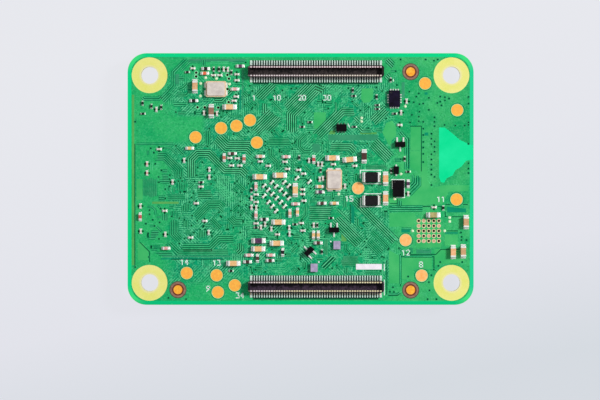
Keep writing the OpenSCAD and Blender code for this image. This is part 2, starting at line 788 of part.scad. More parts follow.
module processor_substrate() {
    color("#1f5e3a") on_back() at_processor() translate([0, 0, processor_ball_h])
        rounded_plate(substrate_l, substrate_l, 0.3, substrate_t);
}

module processor_balls() {
    color("#c4c8ca") on_back() at_processor()
        ball_ring(substrate_l, substrate_l, processor_ball_pitch, processor_ball_d, processor_ball_h);
}

module memory_chip() {
    color("#19191b") on_back() translate(memory_at) translate([0, 0, small_ball_h])
        rounded_plate(memory_w, memory_l, 0.2, memory_t);
}

module memory_balls() {
    color("#c4c8ca") on_back() translate(memory_at)
        ball_ring(memory_w, memory_l, small_ball_pitch, small_ball_d, small_ball_h);
}

module flash_chip() {
    color("#1b1b1d") on_back() translate(flash_at) translate([0, 0, small_ball_h])
        rounded_plate(flash_l, flash_w, 0.2, flash_t);
}

module flash_balls() {
    color("#c4c8ca") on_back() translate(flash_at)
        ball_ring(flash_l, flash_w, small_ball_pitch, small_ball_d, small_ball_h);
}

module network_chip() {
    color("#17171a") on_back() translate(network_at) flat_chip(network_l, network_l, tall_h);
}

module network_chip_lands() {
    color("#cfd4d1") on_back() translate(network_at)
        flat_chip_lands(network_l, network_l, network_lands, network_lands, network_pitch);
}

module power_chip() {
    color("#17171a") on_back() translate(power_at) flat_chip(power_l, power_l, tall_h);
}

module power_chip_lands() {
    color("#cfd4d1") on_back() translate(power_at)
        flat_chip_lands(power_l, power_l, power_lands, power_lands, power_pitch);
}

// A drawn metal can, open towards the board
module radio_can() {
    color("#b9bcbd") on_back() translate(radio_at) difference() {
        rounded_plate(can_l, can_w, can_r, can_h);
        translate([0, 0, -can_t])
            rounded_plate(can_l - 2 * can_t, can_w - 2 * can_t, can_r - can_t, can_h);
        for (x = [-2, -1, 0, 1, 2], y = [-1, 1]) {
            translate([x * can_l / 6, y * can_w / 3, 0]) disc(can_vent_d, can_h + can_t);
        }
    }
}

module radio_chip() {
    color("#17171a") on_back() translate(radio_at) flat_chip(radio_l, radio_l, tall_h);
}

module antenna_socket_base() {
    color("#e8e6dd") on_back() translate(socket_at)
        rounded_plate(socket_l, socket_l, 0.2, socket_base_t);
}

module antenna_socket_ring() {
    color("#d8b45a") on_back() translate(socket_at) translate([0, 0, socket_base_t]) difference() {
        disc(socket_d, socket_h - socket_base_t);
        disc(socket_d - 2 * socket_wall, socket_h);
    }
}

module antenna_socket_pin() {
    color("#d8b45a") on_back() translate(socket_at) translate([0, 0, socket_base_t])
        disc(socket_pin_d, (socket_h - socket_base_t) * 0.7);
}

module status_leds() {
    color("#e9e2b0") on_back() place(led_spots) chip_body(large_size);
}

module status_led_ends() {
    color("#e9edeb") on_back() place(led_spots) chip_ends(large_size);
}

module back_inductor_cores() {
    color("#2a2a2c") on_back() place(back_inductor_spots) inductor_core();
}

module back_inductor_ends() {
    color("#e9edeb") on_back() place(back_inductor_spots) chip_ends(inductor_size);
}

module back_small_spots() {
    for (r = back_rows, i = [0 : r[4] - 1]) {
        translate([r[0] + r[2] * i, r[1] + r[3] * i, 0]) rotate(r[5]) children();
    }
}

module back_chip_bodies() {
    color("#b08a63") on_back() {
        place(back_large_spots) chip_body(large_size);
        back_small_spots() chip_body(medium_size);
    }
}

module back_chip_ends() {
    color("#e9edeb") on_back() {
        place(back_large_spots) chip_ends(large_size);
        back_small_spots() chip_ends(medium_size);
    }
}

circuit_board();
connector_side_mask();
component_side_mask();
test_pads();
fiducial_pads();
via_rings();
solder_dots();
at_header(1) header_housing();  // header_a_housing
at_header(1) header_contacts();  // header_a_contacts
at_header(1) header_tabs();  // header_a_tabs
at_header(-1) header_housing();  // header_b_housing
at_header(-1) header_contacts();  // header_b_contacts
at_header(-1) header_tabs();  // header_b_tabs
switch_chip();
switch_chip_lands();
logic_chip();
logic_chip_lands();
regulator();
transistor_bodies();
transistor_leads();
bare_chips();
diode_body();
diode_leads();
crystal_bases();
crystal_lids();
crystal_lands();
inductor_cores();
inductor_ends();
large_chip_bodies();
large_chip_ends();
medium_chip_bodies();
medium_chip_ends();
small_capacitor_bodies();
small_capacitor_ends();
resistor_bodies();
resistor_ends();
processor_lid();
processor_substrate();
processor_balls();
memory_chip();
memory_balls();
flash_chip();
flash_balls();
network_chip();
network_chip_lands();
power_chip();
power_chip_lands();
radio_can();
radio_chip();
antenna_socket_base();
antenna_socket_ring();
antenna_socket_pin();
status_leds();
status_led_ends();
back_inductor_cores();
back_inductor_ends();
back_chip_bodies();
back_chip_ends();
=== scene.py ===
"""Looks for the compute module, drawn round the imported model, which lies headers up."""
import math
import random
from itertools import product
from types import SimpleNamespace

import bpy
import numpy as np
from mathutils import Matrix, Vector


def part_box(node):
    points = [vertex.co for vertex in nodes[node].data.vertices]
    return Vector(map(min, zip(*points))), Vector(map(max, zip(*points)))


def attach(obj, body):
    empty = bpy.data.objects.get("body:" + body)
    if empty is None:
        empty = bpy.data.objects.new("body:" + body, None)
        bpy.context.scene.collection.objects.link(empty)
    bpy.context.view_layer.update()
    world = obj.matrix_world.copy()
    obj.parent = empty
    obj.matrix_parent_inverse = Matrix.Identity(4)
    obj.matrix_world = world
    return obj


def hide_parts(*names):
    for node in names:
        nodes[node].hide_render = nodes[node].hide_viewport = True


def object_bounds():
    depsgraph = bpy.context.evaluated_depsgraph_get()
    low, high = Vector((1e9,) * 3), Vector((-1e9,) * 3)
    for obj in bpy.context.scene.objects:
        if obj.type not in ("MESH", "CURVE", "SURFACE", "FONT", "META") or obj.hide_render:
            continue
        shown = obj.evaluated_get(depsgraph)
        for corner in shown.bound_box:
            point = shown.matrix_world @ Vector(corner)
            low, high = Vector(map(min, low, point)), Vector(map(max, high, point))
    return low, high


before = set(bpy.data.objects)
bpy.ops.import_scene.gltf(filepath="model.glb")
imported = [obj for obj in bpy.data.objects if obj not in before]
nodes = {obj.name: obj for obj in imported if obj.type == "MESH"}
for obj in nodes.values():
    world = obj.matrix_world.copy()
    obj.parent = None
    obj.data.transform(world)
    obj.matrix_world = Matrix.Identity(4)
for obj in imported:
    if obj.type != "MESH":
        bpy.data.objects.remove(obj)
cad_box = [list(corner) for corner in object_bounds()]

MM = 0.001
BOARD_L, BOARD_W, CORNER_R = 55.0, 40.0, 3.0
HOLE_X, HOLE_Y = BOARD_L / 2 - 3.5, BOARD_W / 2 - 3.5
TOP_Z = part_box("connector_side_mask")[1].z / MM
BACK_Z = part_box("component_side_mask")[0].z / MM


def header_middle(side):
    """The Y of a header's long axis in mm."""
    lo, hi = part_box(f"header_{side}_contacts")
    return (lo.y + hi.y) / 2 / MM


def listed(at, spots, near=0.3):
    """Whether a part is one of those that a list of places in mm means."""
    return any(math.dist(at[:2], spot) < near for spot in spots)


# Colours and materials

def srgb(r, g, b):
    """A colour as the photograph shows it, 0 to 255, made linear for a shader's socket."""
    def lin(c):
        c /= 255
        return c / 12.92 if c <= 0.04045 else ((c + 0.055) / 1.055) ** 2.4
    return (lin(r), lin(g), lin(b), 1.0)


MATS = {}


class Shader:
    """A Principled material whose nodes are added by short calls. Sizes are in mm and colours
    from 0 to 255."""

    def __init__(self, name, metal=0.0, specular=0.5, **sockets):
        self.mat = MATS[name] = bpy.data.materials.new(name)
        self.mat.use_nodes = True
        self.tree = self.mat.node_tree
        self.bsdf = self.tree.nodes["Principled BSDF"]
        for key, value in {"Metallic": metal, "Specular_IOR_Level": specular, **sockets}.items():
            self.bsdf.inputs[key.replace("_", " ")].default_value = value
        self.coords = self.add("TexCoord").outputs["Object"]

    def add(self, kind, inputs=(), **props):
        """A node whose inputs are given numbers or linked to other nodes' outputs."""
        node = self.tree.nodes.new("ShaderNode" + kind)
        for key, value in props.items():
            setattr(node, key, value)
        for key, value in dict(inputs).items():
            if isinstance(value, (int, float, tuple)):
                node.inputs[key].default_value = value
            else:
                self.tree.links.new(value, node.inputs[key])
        return node

    def show(self, **outputs):
        """Links outputs to the Principled sockets that they are named after."""
        for key, value in outputs.items():
            self.tree.links.new(value, self.bsdf.inputs[key.replace("_", " ")])

    def math(self, operation, *values):
        return self.add("Math", enumerate(values), operation=operation).outputs[0]

    def plus(self, a, b):
        return self.math("ADD", a, b)

    def minus(self, a, b):
        return self.math("SUBTRACT", a, b)

    def times(self, a, b):
        return self.math("MULTIPLY", a, b)

    def off(self, value, centre=0.0):
        """The distance from a centre."""
        return self.math("ABSOLUTE", self.minus(value, centre * MM))

    def hypot(self, a, b):
        return self.math("SQRT", self.plus(self.times(a, a), self.times(b, b)))

    def beyond(self, x, y, box):
        """How far a place is outside a box, given as its centre and half sizes."""
        centre_x, centre_y, half_x, half_y = box
        return self.math("MAXIMUM", self.minus(self.off(x, centre_x), half_x * MM),
                         self.minus(self.off(y, centre_y), half_y * MM))

    def remap(self, value, a, b, lo, hi):
        return self.add("MapRange", enumerate((value, a, b, lo, hi))).outputs[0]

    def fade(self, value, start, end, lo=0.0, hi=1.0):
        """From lo to hi between two places."""
        return self.remap(value, start * MM, end * MM, lo, hi)

    def axes(self):
        return self.add("SeparateXYZ", {0: self.coords}).outputs

    def up(self):
        """How far a face looks up, from -1 to 1."""
        return self.add("SeparateXYZ", {0: self.add("NewGeometry").outputs["Normal"]}).outputs[2]

    def noise(self, size, detail=3.0, rough=0.55, shift=None):
        """Noise with features about as large as size, in the frame's own coordinates."""
        source = self.coords
        if shift:
            source = self.add("Mapping", {"Vector": source, "Location": shift}).outputs["Vector"]
        return self.add("TexNoise", {"Vector": source, "Scale": 1 / (size * MM), "Detail": detail,
                                     "Roughness": rough}).outputs["Fac"]

    def winding(self, size, width, shift=None):
        """Thin winding lines, 1 on a line and 0 beside it."""
        off = self.math("ABSOLUTE", self.minus(self.noise(size, 1.0, 0.5, shift), 0.5))
        return self.remap(off, 0.0, width, 1.0, 0.0)

    def bundles(self, cell, pitch):
        """Fine stripes that lie level, upright or at 45 degrees from patch to patch: the stripes
        from 0 to 1, and how strong they and the tone of their patch are."""
        cells = self.add("TexVoronoi", {"Vector": self.coords, "Scale": 1 / (cell * MM)},
                         distance="CHEBYCHEV")
        patch, strength, tone = self.add("SeparateColor", {0: cells.outputs["Color"]}).outputs
        x, y, _ = self.axes()
        turn = 2 * math.pi / (pitch * MM)
        phase = self.times(self.minus(x, y), turn * 0.7071)
        falling = self.times(self.plus(x, y), turn * 0.7071)
        for least, other in ((0.4, falling), (0.62, self.times(x, turn)), (0.82, self.times(y, turn))):
            chosen = self.math("GREATER_THAN", patch, least)
            phase = self.math("MULTIPLY_ADD", chosen, self.minus(other, phase), phase)
        wave = self.math("MULTIPLY_ADD", self.math("SINE", phase), 0.5, 0.5)
        return wave, self.remap(strength, 0.25, 0.8, 0.0, 1.0), tone

    def ramp(self, fac, *stops):
        """Colours at their places along a factor."""
        node = self.add("ValToRGB", {"Fac": fac})
        elements = node.color_ramp.elements
        while len(elements) < len(stops):
            elements.new(0.5)
        for element, (at, colour) in zip(elements, stops):
            element.position = at
            element.color = srgb(*colour)
        return node.outputs["Color"]

    def drift(self, fac, low, high, start=0.3, end=0.7):
        """Two colours that drift into each other."""
        return self.ramp(fac, (start, low), (end, high))

    def mix(self, fac, a, b):
        """Two colours or outputs in the share that fac gives."""
        a, b = (srgb(*side) if isinstance(side, tuple) else side for side in (a, b))
        return self.add("Mix", {0: fac, 6: a, 7: b}, data_type="RGBA").outputs[2]

    def bump(self, height, depth):
        return self.add("Bump", {"Distance": depth * MM, "Strength": 1.0, "Height": height}).outputs["Normal"]

    def finish(self, colour, gloss_size, gloss, grain, depth, detail=3):
        """Gives the material its colour, uneven gloss and a fine grain."""
        rough = self.remap(self.noise(gloss_size, detail), 0.3, 0.7, *gloss)
        self.show(Base_Color=colour, Roughness=rough, Normal=self.bump(self.noise(grain, detail), depth))


def blotched(name, low, high, size, gloss, metal, grain, depth, specular=0.5, **sockets):
    """Two colours that drift into each other, uneven gloss and a fine grain."""
    s = Shader(name, metal, specular, **sockets)
    s.finish(s.drift(s.noise(size, 4.0), low, high), size * 0.6, gloss, grain, depth)


MASK_TINT = (0.15, 1.0, 0.6, 1.0)
BAND = 0.55
# Tint of the painted light on the band at the right edge, where the key lamp falls
BAND_PAINTED_LIGHT = (90, 150, 190)

# Centre and half sizes of a plane with no traces below it
QUIET_PLANE = (-21.4, 7.9, 6.0, 2.1)


def mask_shader(name, outer, right, inner, band, light, dark, busy):
    """Solder mask: a copper-free band along the board's edge, planes inside it, and the faint
    winding lines of the copper below, closest inside the busy box."""
    s = Shader(name, specular=0.3, Specular_Tint=MASK_TINT)
    x, y, _ = s.axes()
    past_x = s.minus(s.off(x), (BOARD_L / 2 - CORNER_R) * MM)
    past_y = s.minus(s.off(y), (BOARD_W / 2 - CORNER_R) * MM)
    corner_x, corner_y = (s.math("MAXIMUM", past, 0.0) for past in (past_x, past_y))
    inside = s.math("MINIMUM", s.math("MAXIMUM", past_x, past_y), 0.0)
    depth = s.minus(CORNER_R * MM, s.plus(s.hypot(corner_x, corner_y), inside))
    in_band = s.fade(depth, BAND, BAND + 0.1, 1.0, 0.0)
    core = s.fade(s.plus(s.beyond(x, y, busy), s.times(s.noise(5.0, 2), 3.0 * MM)), 0.0, 3.0, 1.0, 0.0)
    core = s.times(core, s.fade(s.beyond(x, y, QUIET_PLANE), -0.3, 0.5))
    wave, strength, tone = s.bundles(2.3, 0.34)
    strength = s.times(strength, core)
    drift = s.remap(s.noise(6.0, 4, 0.6), 0.35, 0.65, 0, 1)
    drift = s.math("MULTIPLY_ADD", s.times(s.minus(tone, 0.5), core), 0.7, drift)
    plane = s.mix(s.fade(x, 13, 17), s.mix(drift, *outer), s.mix(drift, *right))
    plane = s.mix(core, plane, s.mix(drift, *inner))
    amount = s.math("MULTIPLY_ADD", core, 0.45, 0.2)
    speckle = s.noise(0.26, 2, 0.7)
    for share, colour in (
            (s.times(s.remap(wave, 0.5, 0.8, 0.0, 0.8), strength), light),
            (s.times(s.remap(wave, 0.5, 0.2, 0.0, 0.8), strength), dark),
            (s.times(s.winding(0.8, 0.05), amount), light),
            (s.times(s.winding(0.62, 0.05, (0.02, 0.01, 0)), amount), dark),
            (s.remap(speckle, 0.58, 0.72, 0, 0.4), light),
            (s.remap(speckle, 0.42, 0.3, 0, 0.5), dark)):
        plane = s.mix(share, plane, colour)
    turn = s.fade(s.math("MINIMUM", corner_x, corner_y), 0.0, 1.6, 0.0, 0.8)
    # Painted shade: the band darkens towards the bottom edge. Painted light: it takes a pale blue tint at the
    # right edge, where the key lamp falls.
    edge = s.mix(s.fade(y, -19.0, -19.6, 0.0, 0.24), s.mix(turn, *band), dark)
    edge = s.mix(s.fade(x, 26.5, 27.0, 0.0, 0.13), edge, BAND_PAINTED_LIGHT)
    s.finish(s.mix(in_band, plane, edge), 1.6, (0.24, 0.36), 0.35, 0.006, 4)


def crown_shader(name, left, right, x_low, x_high):
    """Contact tops that turn from one colour to another along the header."""
    s = Shader(name, metal=0.3)
    uneven = s.noise(0.35, 3)
    ends = [s.drift(uneven, *colours) for colours in (left, right)]
    s.finish(s.mix(s.fade(s.axes()[0], x_low, x_high), *ends), 0.2, (0.28, 0.45), 0.1, 0.003)


# How far the ridges of a header are from its middle
RIDGE_OFF = 0.69


def housing_shader(name, body, ridge_highlight, middle, half_l):
    """Header polymer, with a painted highlight on the two ridges that the contacts fold over, where the light
    catches them.
    """
    s = Shader(name, specular=0.25)
    x, y, _ = s.axes()
    # Painted highlight: faces that look up along the ridges get the lighter colour of the ridges.
    near = s.fade(s.off(s.off(y, middle), RIDGE_OFF), 0.08, 0.13, 1.0, 0.0)
    near = s.times(near, s.fade(s.off(x), half_l - 0.1, half_l, 1.0, 0.0))
    near = s.times(near, s.remap(s.up(), 0.5, 0.9, 0.0, 1.0))
    uneven = s.noise(0.5, 4)
    s.finish(s.mix(near, s.drift(uneven, *body), s.drift(uneven, *ridge_highlight)), 0.3, (0.45, 0.6), 0.08, 0.006)


def channel_shader(name, low, high, strip, middle):
    """The header's channel: uneven dark polymer, with a reddish strip along its lit wall."""
    s = Shader(name, specular=0.2)
    across = s.minus(s.axes()[1], middle * MM)
    uneven = s.plus(s.noise(0.4, 3, 0.7), s.fade(across, -0.45, 0.25, 0.1, -0.1))
    colour = s.mix(s.fade(across, 0.3, 0.42, 0.0, 0.85), s.drift(uneven, low, high, 0.36, 0.64), strip)
    s.finish(colour, 0.3, (0.5, 0.65), 0.08, 0.006)


def laminate_shader():
    """Bare glass laminate: a yellow face, and thin layers of cloth along the cut edges."""
    s = Shader("laminate", specular=0.35)
    x, y, z = s.axes()
    cloth = s.noise(0.4, 4)
    tone = s.math("MULTIPLY_ADD", s.noise(2.6, 3), 0.7, s.times(cloth, 0.3))
    face = s.drift(tone, (224, 226, 108), (238, 232, 144))
    away = s.hypot(s.minus(s.off(x), HOLE_X * MM), s.minus(s.off(y), HOLE_Y * MM))
    face = s.mix(s.fade(away, 1.3, 1.75, 0.75, 0.0), face, (234, 226, 196))
    face = s.mix(s.fade(away, 2.65, 2.9, 0.0, 0.5), face, (240, 240, 160))
    layers = s.math("SINE", s.times(z, 2 * math.pi / (0.14 * MM)))
    cut = s.drift(s.plus(s.times(layers, 0.3), cloth), (150, 150, 70), (206, 204, 110), 0.25, 0.75)
    rough = s.remap(s.noise(0.5, 3), 0.3, 0.7, 0.5, 0.62)
    s.show(Base_Color=s.mix(s.math("ABSOLUTE", s.up()), cut, face), Roughness=rough,
           Normal=s.bump(cloth, 0.01))


# Name, two colours, size of the blotches, roughness from and to, metal, size and depth of the
# grain, and the specular level where it isn't 0.5
BLOTCHED = [
    ("gold", (246, 166, 66), (255, 190, 72), 0.4, (0.45, 0.6), 0.0, 0.12, 0.003, 0.3),
    ("gold_pale", (252, 172, 88), (255, 198, 128), 0.5, (0.45, 0.6), 0.0, 0.12, 0.003, 0.3),
    ("fiducial", (244, 150, 30), (255, 200, 70), 0.5, (0.4, 0.55), 0.0, 0.12, 0.003, 0.3),
    ("via", (196, 176, 120), (236, 212, 160), 0.3, (0.4, 0.6), 0.3, 0.075, 0.004),
    # The mint tint of the dot, solder, joint, tin, tail and dull cap colours is a painted reflection of the
    # green mask in the bright metal.
    ("dot", (206, 240, 190), (240, 255, 226), 0.35, (0.3, 0.5), 0.2, 0.12, 0.01),
    ("solder", (222, 234, 228), (255, 255, 252), 0.35, (0.22, 0.42), 0.35, 0.12, 0.01),
    ("joint", (198, 240, 220), (240, 255, 248), 0.3, (0.22, 0.42), 0.3, 0.12, 0.01),
    ("tin", (226, 232, 228), (252, 253, 250), 0.3, (0.25, 0.42), 0.35, 0.1, 0.006),
    ("tail", (190, 222, 208), (244, 255, 250), 0.25, (0.22, 0.4), 0.3, 0.08, 0.006),
    # The two flank colours are painted light: lighter, warmer copies of the tail colour for the contacts'
    # lower flanks, which lie in the housing's shadow.
    ("painted_fill_light_a", (216, 206, 200), (250, 240, 234), 0.25, (0.3, 0.45), 0.1, 0.08, 0.006),
    ("painted_fill_light_b", (224, 196, 168), (255, 232, 206), 0.25, (0.3, 0.45), 0.1, 0.08, 0.006),
    ("moulding", (1, 0, 2), (12, 8, 14), 0.6, (0.5, 0.68), 0.0, 0.05, 0.006, 0.1),
    ("moulding_violet", (6, 4, 14), (26, 18, 46), 0.9, (0.5, 0.68), 0.0, 0.05, 0.006, 0.1),
    ("silicon", (150, 140, 172), (182, 172, 200), 0.5, (0.22, 0.36), 0.0, 0.06, 0.002),
    ("ceramic", (206, 176, 142), (232, 206, 172), 0.5, (0.55, 0.7), 0.0, 0.07, 0.004),
    ("lid", (208, 196, 190), (238, 228, 218), 0.8, (0.3, 0.45), 0.2, 0.1, 0.003),
    ("ferrite", (8, 8, 10), (24, 22, 27), 0.3, (0.5, 0.7), 0.0, 0.06, 0.01, 0.2),
    ("dim_land", (64, 104, 84), (112, 150, 128), 0.3, (0.3, 0.5), 0.2, 0.07, 0.006),
    ("caps", (232, 236, 232), (255, 255, 252), 0.25, (0.26, 0.44), 0.3, 0.07, 0.006),
    ("dull_caps", (176, 204, 186), (228, 246, 232), 0.2, (0.3, 0.5), 0.3, 0.07, 0.006),
    ("nickel", (176, 178, 182), (206, 208, 210), 2.5, (0.28, 0.42), 0.95, 0.2, 0.004),
    ("substrate", (16, 84, 46), (28, 104, 60), 1.2, (0.4, 0.5), 0.0, 0.15, 0.004),
    ("can", (168, 170, 172), (198, 200, 200), 1.5, (0.3, 0.45), 0.95, 0.3, 0.004),
    ("socket_plastic", (214, 208, 190), (236, 232, 218), 0.5, (0.5, 0.6), 0.0, 0.08, 0.004),
    ("socket_gold", (216, 168, 70), (240, 200, 110), 0.4, (0.25, 0.4), 0.9, 0.1, 0.003),
    ("led", (214, 204, 140), (240, 232, 180), 0.3, (0.2, 0.3), 0.0, 0.1, 0.003),
    ("bare_ring", (96, 34, 22), (120, 54, 44), 0.5, (0.4, 0.55), 0.0, 0.125, 0.004, 0.25),
    ("bare_rim", (124, 92, 80), (160, 126, 106), 0.4, (0.4, 0.55), 0.0, 0.1, 0.004, 0.25),
    ("bare_grey", (64, 66, 58), (84, 84, 74), 0.4, (0.4, 0.55), 0.0, 0.1, 0.004, 0.2),
    # The black of the via bores is painted shade inside the holes.
    ("bare_black", (8, 2, 4), (40, 18, 16), 0.4, (0.5, 0.6), 0.0, 0.1, 0.004, 0.1),
    ("ring_cream", (228, 186, 148), (252, 232, 198), 0.5, (0.35, 0.5), 0.3, 0.125, 0.004),
    ("ring_plug", (206, 150, 126), (234, 186, 156), 0.4, (0.35, 0.5), 0.3, 0.1, 0.004),
    ("dimple", (22, 20, 24), (44, 41, 46), 0.4, (0.3, 0.45), 0.0, 0.05, 0.004, 0.3),
    ("ink_bar", (230, 224, 234), (250, 244, 252), 0.6, (0.5, 0.65), 0.0, 0.15, 0.003),
    ("ink", (206, 240, 224), (236, 252, 244), 0.5, (0.5, 0.65), 0.0, 0.1, 0.006, 0.3),
]

# The mask over planes, gaps, traces and vias: name, two colours, size of the blotches
GREENS = [
    ("mask_leaf", (50, 176, 98), (76, 190, 110), 3),
    ("mask_olive", (80, 160, 80), (102, 174, 92), 2),
    ("mask_greyed", (46, 142, 100), (64, 156, 114), 2),
    ("mask_teal", (8, 132, 96), (16, 148, 108), 2),
    ("mask_bare_green", (6, 220, 144), (34, 232, 160), 3),
    ("mask_gap", (0, 78, 50), (6, 104, 66), 2.2),
    ("mask_trace", (44, 178, 112), (108, 216, 158), 1.3),
    ("mask_gap_faint", (4, 108, 70), (14, 130, 84), 1.6),
    ("mask_trace_faint", (30, 168, 104), (84, 200, 138), 1.0),
    ("mask_via", (14, 140, 88), (56, 176, 112), 1.1),
    ("mask_eye", (0, 46, 28), (2, 76, 46), 0.9),
    ("mask_light", (84, 206, 140), (150, 230, 176), 0.6),
    ("mask_shade", (8, 66, 42), (20, 84, 54), 0.8),
    ("mask_row", (4, 22, 15), (16, 56, 40), 0.5),
]

CERAMICS = {
    "tan": ((220, 168, 108), (248, 206, 150)), "lilac": ((200, 152, 110), (232, 186, 136)),
    "brown": ((136, 96, 78), (168, 126, 104)), "khaki": ((158, 148, 92), (190, 178, 118)),
    "bronze": ((176, 136, 96), (214, 170, 122)), "peach": ((222, 156, 100), (246, 190, 140)),
    "dark_brown": ((58, 32, 28), (90, 58, 48)), "purple": ((60, 30, 60), (104, 64, 100)),
    "black": ((1, 0, 2), (9, 7, 9)), "pink": ((206, 134, 132), (238, 190, 182)),
    "pink_tan": ((204, 150, 124), (238, 196, 168)), "salmon": ((180, 96, 80), (216, 132, 110)),
    "orange_red": ((222, 92, 60), (244, 130, 88)), "red": ((170, 60, 62), (206, 92, 88)),
    "pale": ((186, 166, 156), (230, 214, 204)), "white": ((212, 212, 196), (244, 240, 226)),
}

# Each header's polymer, the painted highlight on its ridges, and its channel with the strip along it
HEADERS = {
    "a": (((9, 8, 9), (22, 19, 21)), ((84, 62, 66), (128, 98, 104)),
          ((1, 0, 1), (58, 50, 50), (44, 6, 18))),
    "b": (((14, 8, 20), (30, 22, 36)), ((84, 74, 70), (124, 112, 98)),
          ((4, 0, 8), (66, 50, 70), (26, 6, 30))),
}
PINKISH = ((236, 206, 212), (255, 240, 242))

# Contact tops: name, colours at the left and at the right, and the X where they change
CROWNS = [
    ("crown_a", PINKISH, PINKISH, -1.0, 1.0),
    ("crown_low_a", ((224, 212, 212), (250, 242, 242)), ((224, 216, 196), (250, 244, 226)), -2.0, 5.0),
    ("crown_b", ((226, 206, 210), (250, 236, 238)), ((232, 220, 160), (255, 248, 206)), -6.0, -1.0),
]


def setup_materials():
    mask_shader(
        "mask", outer=((24, 168, 98), (48, 182, 104)), right=((26, 164, 96), (68, 188, 108)),
        inner=((12, 158, 108), (28, 168, 104)), band=((12, 212, 134), (70, 226, 124)),
        light=(104, 216, 156), dark=(0, 100, 68), busy=(-3.0, 0.0, 17.5, 16.0))
    mask_shader(
        "mask_back", outer=((16, 132, 74), (26, 148, 84)), right=((18, 134, 76), (28, 150, 86)),
        inner=((14, 126, 72), (24, 142, 80)), band=((10, 190, 120), (20, 196, 116)),
        light=(50, 164, 104), dark=(2, 92, 58), busy=(0.0, 0.0, 20.0, 15.0))
    laminate_shader()
    for side, (body, ridge_highlight, channel) in HEADERS.items():
        half_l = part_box(f"header_{side}_tabs")[1].x / MM
        housing_shader("housing_" + side, body, ridge_highlight, header_middle(side), half_l)
        channel_shader("channel_" + side, *channel, header_middle(side))
    for row in CROWNS:
        crown_shader(*row)
    for row in BLOTCHED:
        blotched(*row)
    for key, colours in CERAMICS.items():
        blotched("chip_" + key, *colours, 0.35, (0.42, 0.6), 0.0, 0.05, 0.004, 0.4)
    for row in GREENS:
        blotched(*row, (0.24, 0.36), 0.0, 0.3, 0.004, 0.3, Specular_Tint=MASK_TINT)


# What the CAD holds

def solids(name):
    """The separate solids of a node: centre, corners and points in mm."""
    mesh = nodes[name].data
    co = np.empty(len(mesh.vertices) * 3)
    mesh.vertices.foreach_get("co", co)
    co = co.reshape(-1, 3) / MM
    _, same = np.unique(np.round(co, 4), axis=0, return_inverse=True)
    same = same.ravel()
    edges = np.empty(len(mesh.edges) * 2, int)
    mesh.edges.foreach_get("vertices", edges)
    a, b = same[edges].reshape(-1, 2).T
    label = np.arange(same.max() + 1)
    while True:
        low = np.minimum(label[a], label[b])
        new = label.copy()
        np.minimum.at(new, a, low)
        np.minimum.at(new, b, low)
        new = new[new]
        if (new == label).all():
            break
        label = new
    found = []
    for key in np.unique(label):
        points = co[label[same] == key]
        lo, hi = points.min(0), points.max(0)
        found.append(SimpleNamespace(at=(lo + hi) / 2, lo=lo, hi=hi, points=points))
    return found


def dress(name, *keys):
    mesh = nodes[name].data
    mesh.materials.clear()
    for key in keys:
        mesh.materials.append(MATS[key])
    for polygon in mesh.polygons:
        polygon.material_index = 0


def dress_faces(name, choose):
    """Gives a face the material that choose(its centre in mm) names by its slot."""
    for polygon in nodes[name].data.polygons:
        polygon.material_index = int(choose(polygon.center / MM))


PLAIN = {
    "laminate": ["circuit_board"], "mask": ["connector_side_mask"], "mask_back": ["component_side_mask"],
    "fiducial": ["fiducial_pads"], "via": ["via_rings"], "dot": ["solder_dots"],
    "moulding_violet": ["switch_chip"], "dim_land": ["logic_chip_lands"], "silicon": ["bare_chips"],
    "moulding": ["logic_chip", "regulator", "transistor_bodies", "diode_body", "memory_chip",
                 "flash_chip", "network_chip", "power_chip", "radio_chip"],
    "solder": ["switch_chip_lands", "crystal_lands", "processor_balls", "memory_balls",
               "flash_balls", "network_chip_lands", "power_chip_lands"],
    "tin": ["transistor_leads", "diode_leads"], "ceramic": ["crystal_bases"], "lid": ["crystal_lids"],
    "nickel": ["processor_lid"], "substrate": ["processor_substrate"], "can": ["radio_can"],
    "socket_plastic": ["antenna_socket_base"], "socket_gold": ["antenna_socket_ring", "antenna_socket_pin"],
    "led": ["status_leds"], "caps": ["status_led_ends"],
}
PALE_PADS = [(9.15, -1.45), (16.7, -9.7), (19.25, -15.35)]
PAD_REACH = 1.2

# The channel's half width and rim, the height above which a contact shows its top, and how far
# from the middle its folded part and its lower flank end
CHANNEL_HALF, CHANNEL_TOP = 0.54, TOP_Z + 1.1
CREST_Z, FOLD_HALF, FLANK_END = TOP_Z + 0.9, 0.6, 1.36


def dress_all():
    for key, names in PLAIN.items():
        for name in names:
            dress(name, key)
    dress("test_pads", "gold", "gold_pale")
    dress_faces("test_pads", lambda at: listed(at, PALE_PADS, PAD_REACH))
    for side, crown, lower in (("a", "crown_a", "crown_low_a"), ("b", "crown_b", "crown_b")):
        middle = header_middle(side)
        housing = f"header_{side}_housing"
        dress(housing, "housing_" + side, "channel_" + side)
        dress_faces(housing, lambda at: abs(at.y - middle) < CHANNEL_HALF and at.z < CHANNEL_TOP)
        for name in (f"header_{side}_contacts", f"header_{side}_tabs"):
            dress(name, "tail", crown, "channel_" + side, "painted_fill_light_" + side, lower)
            # Slot 3, the faces of the lower flanks in the housing's shadow, gets a lighter copy of the tail
            # colour: painted light.
            dress_faces(name, lambda at: (1 if at.y > middle else 4) if at.z > CREST_Z
                        else 2 if abs(at.y - middle) < FOLD_HALF
                        else 3 if -FLANK_END < at.y - middle < 0 else 0)


# Thin shapes on the mask: heights over it, and how far the sides of shapes and discs lean in

FIELD_H, GAP_H, TRACE_H, VIA_H, EYE_H, INK_H = 0.006, 0.010, 0.018, 0.022, 0.026, 0.032
SLOPE = 0.012
DISC_SLOPE = 0.01


def unit(p, q):
    dx, dy = q[0] - p[0], q[1] - p[1]
    size = math.hypot(dx, dy) or 1.0
    return (dx / size, dy / size)


